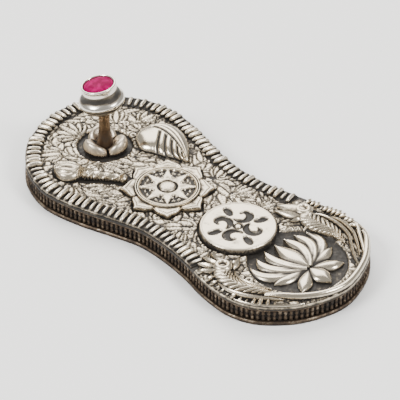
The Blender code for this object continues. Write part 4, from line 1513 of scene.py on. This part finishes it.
@dataclass
class Bird:
    """A bird beside the lotus, seen from above."""

    side: Side
    node: str

    # spine x, y, width, rise
    BODY = {
        Side.RIGHT: ((13.0, -20.6, 3.4, 0.95), (12.6, -22.6, 4.2, 1.0), (12.5, -25.0, 4.6, 1.05),
                     (12.9, -27.6, 4.0, 1.0), (13.1, -30.0, 2.8, 0.85), (12.6, -32.2, 1.5, 0.5),
                     (12.1, -33.6, 0.2, 0.2)),
        Side.LEFT: ((-12.2, -21.2, 3.4, 0.95), (-13.5, -23.2, 4.0, 0.95), (-14.1, -25.6, 3.9, 1.0),
                    (-13.7, -28.2, 3.4, 0.95), (-12.3, -31.0, 2.4, 0.8), (-11.2, -33.0, 1.3, 0.5),
                    (-10.5, -34.2, 0.2, 0.2)),
    }
    STRANDS = {
        Side.RIGHT: (((14.3, -21.8), (15.5, -24.4), (15.6, -28.2), (14.5, -32.4), (12.0, -35.6), (9.8, -38.6),
                      (8.6, -40.9)),
                     ((16.6, -25.5), (16.8, -28.6), (15.8, -32.4), (13.4, -36.0), (11.2, -38.6))),
        Side.LEFT: (((-10.9, -23.6), (-12.0, -25.6), (-12.0, -28.6), (-10.9, -31.4), (-9.8, -33.2)),
                    ((-16.1, -24.0), (-16.4, -27.4), (-15.2, -31.2), (-13.0, -34.6), (-10.6, -37.2))),
    }
    HEAD = {Side.RIGHT: (13.6, -20.3), Side.LEFT: (-11.9, -21.4)}
    # first y, last y, inset, count, seed
    FEATHER_ROW = {
        Side.RIGHT: (-29.6, -18.6, 1.15, 11, SEED + 4),
        Side.LEFT: (-18.8, -37.5, 1.1, 14, SEED + 5),
    }
    # root x, y, heading, length, width, rise
    CREST = {
        Side.RIGHT: ((12.0, -22.4, 338.0, 7.0, 2.3, 0.95), (14.3, -22.4, 336.0, 8.0, 4.3, 1.15),
                     (11.4, -22.0, 300.0, 2.6, 1.2, 0.8), (14.6, -18.6, 350.0, 2.2, 1.1, 0.7)),
        Side.LEFT: ((-10.9, -23.6, 62.0, 4.2, 1.6, 0.9), (-10.4, -22.0, 96.0, 2.4, 1.1, 0.85),
                    (-11.0, -20.9, 8.0, 4.6, 1.3, 0.85), (-11.9, -20.9, 352.0, 4.9, 1.3, 0.9),
                    (-12.8, -21.1, 336.0, 4.6, 1.3, 0.85), (-13.4, -21.8, 318.0, 4.0, 1.2, 0.8)),
    }

    def scales(self, u: np.ndarray, v: np.ndarray) -> np.ndarray:
        """Gives slanting feathers: short ones inwards, long strokes outwards.

        Args:
            u: Share of the length, from 0 to 1.
            v: Place across, from -1 to 1.

        Returns:
            The change of level at each place.
        """
        outer = v if self.side is Side.RIGHT else -v
        strokes = (0.5 + 0.5 * np.cos(math.tau * (15.0 * u + 2.6 * outer))) ** 2.2
        scallops = (0.5 + 0.5 * np.cos(math.tau * (12.0 * u - 1.6 * outer))) ** 2.2
        share = smoothstep(-0.1, 0.1, outer)
        cut = strokes * share + scallops * (1.0 - share)
        return -0.46 * cut * smoothstep(0.12, 0.2, u) * smoothstep(1.0, 0.85, u)

    def feathers(self, shop: Workshop, material: bpy.types.Material) -> bpy.types.Mesh:
        """Makes the row of short feathers between the body and the edge.

        Args:
            shop: Where the rows are made.
            material: The feathers' material.

        Returns:
            The feathers' mesh.
        """
        shape = Solid()
        shape.leaf((0.0, -1.0), 8.0, 2.1, 0.85, 0.42, RELIEF_BASE - 0.1, rib=0.1, steps=6, arc=4)
        start, end, inset, count, seed = self.FEATHER_ROW[self.side]
        shares = np.linspace(EDGE.share_at(start, self.side), EDGE.share_at(end, self.side), 90)
        return shop.rows.run(EDGE.at(shares, inset), False, shape, count, 0.1, material, seed)

    def build(self, shop: Workshop) -> None:
        """Builds the body, head, crest, feathers and tail lines.

        Args:
            shop: Where the finished piece is kept.
        """
        made = Solid()
        rows = spline(self.BODY[self.side], 150)
        widths = np.maximum(rows[:, 2], 0.2)
        made.crowned(rows[:, :2], widths, rows[:, 3], RELIEF_BASE, 0.6, 30, 0.5, self.scales)
        for x, y, heading, length, width, rise in self.CREST[self.side]:
            made.leaf((x, y), heading, length, width, rise, RELIEF_BASE - 0.05, rib=0.12, steps=10, skirt=0.5)
        for path in self.STRANDS[self.side]:
            line = spline(path, 54)
            grow = 0.08 + 0.92 * np.sin(math.pi * np.linspace(0.01, 0.99, 54)) ** 0.6
            made.crowned(line, 0.85 * grow, 0.95 * grow, RELIEF_BASE - 0.1, 0.5, 6)
        x, y = self.HEAD[self.side]
        dome = [(0.0, -0.5), (2.05, -0.5), (2.1, 0.2), (1.95, 0.75), (1.6, 1.12), (1.25, 1.28), (1.0, 1.26),
                (0.82, 1.08), (0.66, 0.70), (0.5, 0.62), (0.3, 0.72), (0.0, 0.76)]
        made.turned(dome, (x, y, RELIEF_BASE), 40)
        body = made.object("body")
        item = merged(f"{self.node}_relief", [body.data, self.feathers(shop, shop.material(CAST))])
        bpy.data.objects.remove(body, do_unlink=True)
        shop.keep(item, CAST, Slot.OXIDISED, self.node)


@dataclass
class Conch:
    """The shell beside the sun: a smooth crown and ribs that sweep to its tip."""

    rise: float = 2.25
    rib_count: float = 10.5

    # x, y, width, rise share
    ROWS = (
        (8.8, 9.6, 0.5, 0.28),
        (9.0, 10.8, 2.0, 0.42),
        (9.5, 12.6, 4.6, 0.60),
        (9.9, 14.8, 7.4, 0.80),
        (10.2, 17.2, 9.6, 0.95),
        (10.2, 19.4, 10.9, 1.02),
        (10.0, 21.4, 10.6, 0.98),
        (9.8, 23.2, 7.8, 0.78),
        (9.8, 24.4, 4.0, 0.50),
        (9.8, 24.9, 1.2, 0.28),
    )

    def ribs(self, u: np.ndarray, v: np.ndarray) -> np.ndarray:
        """Gives the grooves: a fan on the left flank and two long lines right of the middle.

        Args:
            u: Share of the length, from 0 to 1.
            v: Place across, from -1 to 1.

        Returns:
            The change of level at each place.
        """
        sweep = u - 0.20 * v
        zone = smoothstep(0.66, 0.58, sweep) * smoothstep(0.14, 0.02, v) * smoothstep(0.02, 0.08, u)
        fan = -0.5 * (0.5 + 0.5 * np.cos(math.tau * self.rib_count * sweep)) ** 2.5
        long_zone = smoothstep(0.80, 0.70, u) * smoothstep(0.03, 0.12, u)
        lines = -0.42 * np.exp(-((v - 0.16 - 0.10 * u) / 0.055) ** 2)
        lines = lines - 0.24 * np.exp(-((v - 0.42 - 0.08 * u) / 0.05) ** 2)
        return fan * zone + lines * long_zone

    def build(self, shop: Workshop) -> None:
        """Builds the shell.

        Args:
            shop: Where the finished piece is kept.
        """
        rows = spline(self.ROWS, 150)
        made = Solid()
        widths = np.maximum(rows[:, 2], 0.4)
        heights = self.rise * rows[:, 3]
        made.crowned(rows[:, :2], widths, heights, RELIEF_BASE - 0.05, 0.5, 80, 0.55, self.ribs)
        shop.keep(made.object("conch_shell", 55.0), SHELL, Slot.OXIDISED, "conch")


@dataclass
class Mace:
    """The mace: a lobed head and a roped handle that widens to it."""

    start: tuple[float, float] = (-4.9, 14.4)
    head: tuple[float, float] = (-12.2, 25.4)
    length: float = 16.2
    lobes: int = 11
    turns: int = 14

    # share along, width, rise
    ROWS = (
        (0.00, 1.0, 0.55), (0.02, 1.8, 0.85), (0.05, 2.1, 1.0), (0.08, 1.7, 0.85), (0.11, 1.5, 0.8),
        (0.30, 1.8, 0.95), (0.48, 2.3, 1.1), (0.57, 2.9, 1.25), (0.61, 2.7, 1.15), (0.65, 3.8, 1.35),
        (0.71, 5.5, 1.55), (0.78, 6.5, 1.70), (0.86, 6.2, 1.65), (0.92, 4.9, 1.4), (0.96, 3.2, 1.1),
        (0.985, 2.1, 0.85), (1.00, 0.7, 0.5),
    )

    def relief(self, u: np.ndarray, v: np.ndarray) -> np.ndarray:
        """Gives the lobes of the head and the turns of the rope on the handle.

        Args:
            u: Share of the length, from 0 to 1.
            v: Place across, from -1 to 1.

        Returns:
            The change of level at each place.
        """
        head = smoothstep(0.62, 0.69, u) * smoothstep(0.98, 0.94, u)
        lobed = -0.34 * np.abs(np.cos(0.5 * self.lobes * np.arcsin(np.clip(v, -1, 1)))) ** 5 * head
        rope = 0.26 * np.cos(math.tau * (self.turns * u / 0.56 + 0.7 * v))
        return lobed + rope * smoothstep(0.10, 0.13, u) * smoothstep(0.60, 0.56, u)

    def build(self, shop: Workshop) -> None:
        """Builds the mace along its line.

        Args:
            shop: Where the finished piece is kept.
        """
        rows = spline(self.ROWS, 190)
        start, head = np.array(self.start), np.array(self.head)
        forward = (head - start) / np.linalg.norm(head - start)
        path = start + forward * (rows[:, :1] * self.length)
        handle = smoothstep(0.10, 0.13, rows[:, 0]) * smoothstep(0.60, 0.56, rows[:, 0])
        widths = rows[:, 1] * (1.0 + 0.10 * handle * np.cos(math.tau * self.turns * rows[:, 0] / 0.56))
        made = Solid()
        made.crowned(path, widths, rows[:, 2], RELIEF_BASE - 0.05, 0.5, 32, 0.5, self.relief)
        shop.keep(made.object("mace_relief", 55.0), CAST, Slot.OXIDISED, "mace")


@dataclass
class PetalCup:
    """Three swelling petals round the knob's foot."""

    radius: float = 5.15
    height: float = 3.4
    bore: float = 1.7
    heading: float = math.radians(-62.0)
    base: float = 4.02

    # reach from the bore to the radius, height, how far the clefts bite
    ROWS = (
        (0.00, 0.00, 0.0), (0.00, 0.30, 0.0), (0.08, 0.38, 0.2), (0.24, 0.60, 0.5), (0.42, 0.84, 0.75),
        (0.60, 0.98, 0.9), (0.78, 0.99, 1.0), (0.92, 0.80, 1.0), (1.00, 0.50, 1.0), (0.97, 0.20, 0.95),
        (0.86, 0.00, 0.9),
    )

    def build(self, shop: Workshop) -> None:
        """Builds the petals as one lobed ring.

        Args:
            shop: Where the finished piece is kept.
        """
        count = 216
        rows = spline(self.ROWS, 34)
        rings = []
        for step in range(count):
            angle = self.heading + math.tau * step / count
            turn = abs(((step / count * 3) + 0.5) % 1.0 - 0.5) * 2.0
            lobe = 0.82 * max(0.0, 1.0 - turn ** 2.6) ** 0.6 + 0.18 * (1.0 - turn)
            pinch = 1.0 - rows[:, 2] * 0.52 * (1.0 - lobe)
            reach = self.bore + (self.radius - self.bore) * rows[:, 0] * pinch
            drop = 1.0 - (0.62 * rows[:, 2] + 0.28) * (1.0 - lobe)
            level = self.base + self.height * np.clip(rows[:, 1], 0.0, 1.0) * drop
            across, along = KNOB[0] + reach * math.cos(angle), KNOB[1] + reach * math.sin(angle)
            rings.append(np.stack([across, along, level], axis=1))
        made = Solid()
        made.loft(np.stack(rings), joined=True)
        shop.keep(made.object("petal_cup_relief", 50.0), CUP, Slot.POLISHED, "petal_cup")


@dataclass
class Knob:
    """The turned stem, the leaning head, its bezel and the stone."""

    stem_height: float = 9.5
    lean: float = math.radians(10.0)
    heading: float = math.radians(120.0)

    def tilt(self, points: np.ndarray) -> np.ndarray:
        """Leans points about the stem's top and sets them in place.

        Args:
            points: Points from the top of the stem, upright.

        Returns:
            The points in place.
        """
        away = np.array([math.cos(self.heading), math.sin(self.heading)])
        side = np.array([-away[1], away[0]])
        u, v, z = points[:, :2] @ away, points[:, :2] @ side, points[:, 2]
        c, s = math.cos(self.lean), math.sin(self.lean)
        u, z = u * c + z * s, -u * s + z * c
        flat = KNOB + u[:, None] * away + v[:, None] * side
        return np.concatenate([flat, (z + PLATE_TOP + self.stem_height)[:, None]], axis=1)

    def stem(self, shop: Workshop) -> None:
        """Builds the stem with its foot and neck.

        Args:
            shop: Where the finished piece is kept.
        """
        tall = PLATE_TOP + self.stem_height - PLATE_BOTTOM
        made = Solid()
        profile = [(0.0, 0.0), (1.85, 0.0), (1.8, 0.16 * tall), (1.62, 0.27 * tall), (1.42, 0.36 * tall),
                   (1.28, 0.50 * tall), (1.22, 0.66 * tall), (1.26, 0.82 * tall), (1.42, 0.92 * tall),
                   (1.62, 0.98 * tall), (1.5, 1.015 * tall), (0.0, 1.015 * tall)]
        made.turned(profile, (KNOB[0], KNOB[1], PLATE_BOTTOM), 48)
        item = made.object("turned_stem", 50.0)
        height = coordinates(item)[:, 2]
        # Darker towards its foot inside the petal cup, lighter towards the head.
        shop.keep(item, STEM, Slot.POLISHED, "knob_stem", wear_and_painted_shading=0.35 + 0.4 * smoothstep(6.0, 13.5, height),
                  in_map=False)

    @staticmethod
    def head_tarnish_and_painted_light(points: np.ndarray) -> np.ndarray:
        """Gives the head's tone by height: dark in the neck as a painted reflection, dark in the line under
        its bulge, bright on the bulge as a painted highlight.

        Args:
            points: The head's points, upright.

        Returns:
            The tone at each.
        """
        angle = np.arctan2(points[:, 1], points[:, 0])
        height = points[:, 2] + 0.14 * np.sin(3.0 * angle) + 0.07 * np.sin(7.0 * angle + 1.0)
        return np.interp(height, (0.0, 0.5, 1.2, 1.75, 2.05, 2.35, 2.6, 3.5, 3.9, 4.4, 5.3),
                         (0.20, 0.30, 0.62, 0.50, 0.03, 0.45, 0.98, 0.92, 0.16, 0.10, 0.34))

    def head(self, shop: Workshop) -> None:
        """Builds the bowl of the head.

        Args:
            shop: Where the finished piece is kept.
        """
        made = Solid()
        profile = [(0.0, -0.02), (1.45, -0.02), (1.75, 0.05), (2.3, 0.13), (2.9, 0.30), (3.5, 0.58),
                   (4.0, 0.90), (4.35, 1.22), (4.62, 1.55), (4.76, 1.80), (4.78, 1.98), (4.80, 2.10),
                   (4.90, 2.20), (5.02, 2.40), (5.1, 2.70), (5.1, 2.95), (5.02, 3.2), (4.80, 3.48),
                   (4.45, 3.78), (4.18, 4.15), (4.02, 4.55), (3.93, 4.95), (3.9, 5.3), (0.0, 5.3)]
        made.turned(profile, (0.0, 0.0, 0.0), 96)
        # Painted highlight round the bulge and painted dark reflection in the neck, set by height.
        wear_and_painted_shading = self.head_tarnish_and_painted_light(made.points[0])
        made.points = [self.tilt(points) for points in made.points]
        item = made.object("turned_head", 40.0)
        shop.keep(item, TURNED, Slot.POLISHED, "knob_head", wear_and_painted_shading=wear_and_painted_shading, in_map=False)

    def bezel(self, shop: Workshop) -> None:
        """Builds the collar that holds the stone, with a rolled lip.

        Args:
            shop: Where the finished piece is kept.
        """
        section = ((3.42, 5.2), (3.86, 5.2), (3.82, 5.7), (3.78, 6.1), (3.86, 6.35), (3.90, 6.55),
                   (3.82, 6.74), (3.66, 6.8), (3.48, 6.74), (3.36, 6.55), (3.34, 6.2))
        count = 96
        angles = np.linspace(0.0, math.tau, count, endpoint=False)
        flat = np.stack([np.cos(angles), np.sin(angles), angles * 0], axis=1)
        rings = [radius * flat + np.array([0.0, 0.0, height]) for radius, height in section]
        made = Solid()
        made.loft(np.stack(rings, axis=1), joined=True)
        made.points = [self.tilt(points) for points in made.points]
        item = made.object("stone_collar", 50.0)
        wear_and_painted_shading = np.full(len(item.data.vertices), 0.92)
        shop.keep(item, TURNED, Slot.POLISHED, "bezel", wear_and_painted_shading=wear_and_painted_shading, in_map=False)

    def stone(self, shop: Workshop) -> None:
        """Builds the faceted stone.

        Args:
            shop: Where the finished piece is kept.
        """
        made = Solid()
        count = 24
        rows = ((1.9, 5.45, 0.0), (3.2, 6.30, 0.5), (3.24, 6.48, 0.0), (2.7, 6.78, 0.5), (1.75, 7.02, 0.0))
        rings = []
        for radius, height, shift in rows:
            angles = (np.arange(count) + shift) * math.tau / count
            ring = [radius * np.cos(angles), radius * np.sin(angles), angles * 0 + height]
            rings.append(np.stack(ring, axis=1))
        made.loft(np.stack(rings))
        made.points = [self.tilt(points) for points in made.points]
        item = made.object("set_stone", 8.0)
        wear_and_painted_shading = np.ones(len(item.data.vertices))
        shop.keep(item, StoneFinish(), Slot.RUBY, "stone", wear_and_painted_shading=wear_and_painted_shading, in_map=False)

    def build(self, shop: Workshop) -> None:
        """Builds the whole knob.

        Args:
            shop: Where the finished piece is kept.
        """
        self.stem(shop)
        self.head(shop)
        self.bezel(shop)
        self.stone(shop)


# Wear from the relief

@dataclass
class WearMap:
    """Heights seen from above, blurred at three sizes, that tell hollows from ridges."""

    cell: float = 0.15
    x_low: float = -21.5
    y_low: float = -45.0
    blurs: tuple[int, ...] = (2, 5, 13)
    weights: tuple[float, ...] = (1.35, 0.70, 0.20)
    levels: list[np.ndarray] = field(default_factory=list)

    def measure(self, pieces: Sequence[Piece]) -> None:
        """Casts one ray down on each cell.

        Args:
            pieces: All pieces; those above the relief are passed over.
        """
        points: list[np.ndarray] = []
        faces: list[tuple[int, ...]] = []
        count = 0
        for piece in pieces:
            if not piece.in_map:
                continue
            points.append(coordinates(piece.item))
            faces.extend(tuple(index + count for index in face.vertices) for face in piece.item.data.polygons
                         if face.normal.z > 0.02)
            count += len(points[-1])
        tree = BVHTree.FromPolygons(np.vstack(points).tolist(), faces)
        rows, columns = round(-2 * self.y_low / self.cell), round(-2 * self.x_low / self.cell)
        heights = np.full((rows, columns), PLATE_TOP)
        down = Vector((0.0, 0.0, -1.0))
        start = 30.0
        for row in range(rows):
            y = self.y_low + row * self.cell
            for column in range(columns):
                hit = tree.ray_cast(Vector((self.x_low + column * self.cell, y, start)), down)[0]
                if hit is not None:
                    heights[row, column] = hit.z
        self.levels = [blurred(heights, radius) for radius in self.blurs]

    def wear_and_painted_shading(self, points: np.ndarray, ground: bool) -> np.ndarray:
        """Gives the wear at points: 0 in a hollow, 1 on a ridge.

        Args:
            points: The points.
            ground: Whether they belong to the ground between the motifs.

        Returns:
            The wear at each point.
        """
        rows, columns = self.levels[0].shape
        column = np.clip(np.round((points[:, 0] - self.x_low) / self.cell).astype(int), 0, columns - 1)
        row = np.clip(np.round((points[:, 1] - self.y_low) / self.cell).astype(int), 0, rows - 1)
        total = np.zeros(len(points))
        for weight, level in zip(self.weights, self.levels):
            total += weight * (points[:, 2] - level[row, column])
        level = points[:, 2]
        worn_and_shaded = smoothstep(-0.38, 0.38, total) * smoothstep(4.12, 4.52, level)
        if not ground:
            return worn_and_shaded
        edge = smoothstep(0.30, 0.1, EDGE.depth(points[:, :2])[0]) * smoothstep(4.5, 4.7, level)
        return np.maximum(np.maximum(worn_and_shaded, 0.68 * edge), 0.50 * smoothstep(4.70, 4.98, level))


def put_wear_and_painted_shading(piece: Piece, wear_and_painted_shading: np.ndarray) -> None:
    """Writes the wear, with any painted shade and painted highlight, to a piece's points."""
    layer = piece.item.data.attributes.new("wear_and_painted_shading", "FLOAT", "POINT")
    layer.data.foreach_set("value", np.clip(wear_and_painted_shading, 0.0, 1.0).astype(np.float32))


# Studio

@dataclass
class Studio:
    """The floor, the lights and the camera."""

    eye: tuple[float, float, float] = (-307.3, -309.7, 341.5)
    target: tuple[float, float, float] = (0.3, -2.6, 5.9)
    lens: float = 232.0

    def floor(self) -> None:
        """Lays the pale floor."""
        mesh = bpy.data.meshes.new("floor")
        reach = 3.0
        corners = [(-reach, -reach, 0.0), (reach, -reach, 0.0), (reach, reach, 0.0), (-reach, reach, 0.0)]
        mesh.from_pydata(corners, [], [(0, 1, 2, 3)])
        mesh.materials.append(FloorFinish().build())
        made = bpy.data.objects.new("floor", mesh)
        bpy.context.scene.collection.objects.link(made)

    def lamp(self, name: str, place: Sequence[float], size: float, power: float,
             colour: Sequence[float] = (1.0, 1.0, 1.0)) -> None:
        """Hangs one soft square lamp that faces the sandal.

        Args:
            name: Its name.
            place: Where it hangs, in metres.
            size: Its side, in metres.
            power: Its power, in watts.
            colour: Its colour.
        """
        light = bpy.data.lights.new(name, "AREA")
        light.size = size
        light.energy = power
        light.color = colour
        made = bpy.data.objects.new(name, light)
        made.location = place
        made.rotation_euler = (-Vector(place)).to_track_quat("-Z", "Y").to_euler()
        bpy.context.scene.collection.objects.link(made)

    def camera(self) -> None:
        """Sets the camera at the photograph's angle."""
        view = bpy.data.cameras.new("camera")
        view.lens = self.lens
        view.sensor_width = 36.0
        view.clip_start = 0.01
        view.clip_end = 20.0
        made = bpy.data.objects.new("camera", view)
        eye, target = Vector(self.eye) * MM, Vector(self.target) * MM
        made.location = eye
        made.rotation_euler = (target - eye).to_track_quat("-Z", "Y").to_euler()
        bpy.context.scene.collection.objects.link(made)
        bpy.context.scene.camera = made

    def build(self) -> None:
        """Sets up the whole studio."""
        self.floor()
        self.lamp("back", (0.75, 0.95, 1.15), 1.5, 38.0, (1.0, 0.985, 0.96))
        self.lamp("left", (-1.0, 0.35, 1.0), 0.5, 21.0)
        self.lamp("front", (0.35, -1.0, 1.0), 0.45, 17.0)
        world = bpy.data.worlds.new("studio")
        bpy.context.scene.world = world
        world.use_nodes = True
        world.node_tree.nodes["Background"].inputs["Color"].default_value = (1.0, 0.995, 0.98, 1.0)
        world.node_tree.nodes["Background"].inputs["Strength"].default_value = 0.52
        self.camera()


def main() -> None:
    """Builds every piece in order, gives them their wear and painted shading, and sets the studio."""
    logging.basicConfig(level=logging.INFO, format="%(name)s: %(message)s")
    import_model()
    shop = Workshop()
    for maker in (Sole(), Footbed(), RopeBorder(), HeelRim(), SunMedallion(), RoundDisc(), Lotus(),
                  Bird(Side.LEFT, "bird_left"), Bird(Side.RIGHT, "bird_right"), Conch(), Mace(), PetalCup(),
                  Knob()):
        maker.build(shop)
    wear_map = WearMap()
    wear_map.measure(shop.pieces)
    for piece in shop.pieces:
        wear_and_painted_shading = piece.wear_and_painted_shading if piece.wear_and_painted_shading is not None else wear_map.wear_and_painted_shading(coordinates(piece.item), piece.ground)
        put_wear_and_painted_shading(piece, wear_and_painted_shading)
        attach(piece.item, "root")
        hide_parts(*piece.nodes)
    Studio().build()


if __name__ == "__main__":
    main()
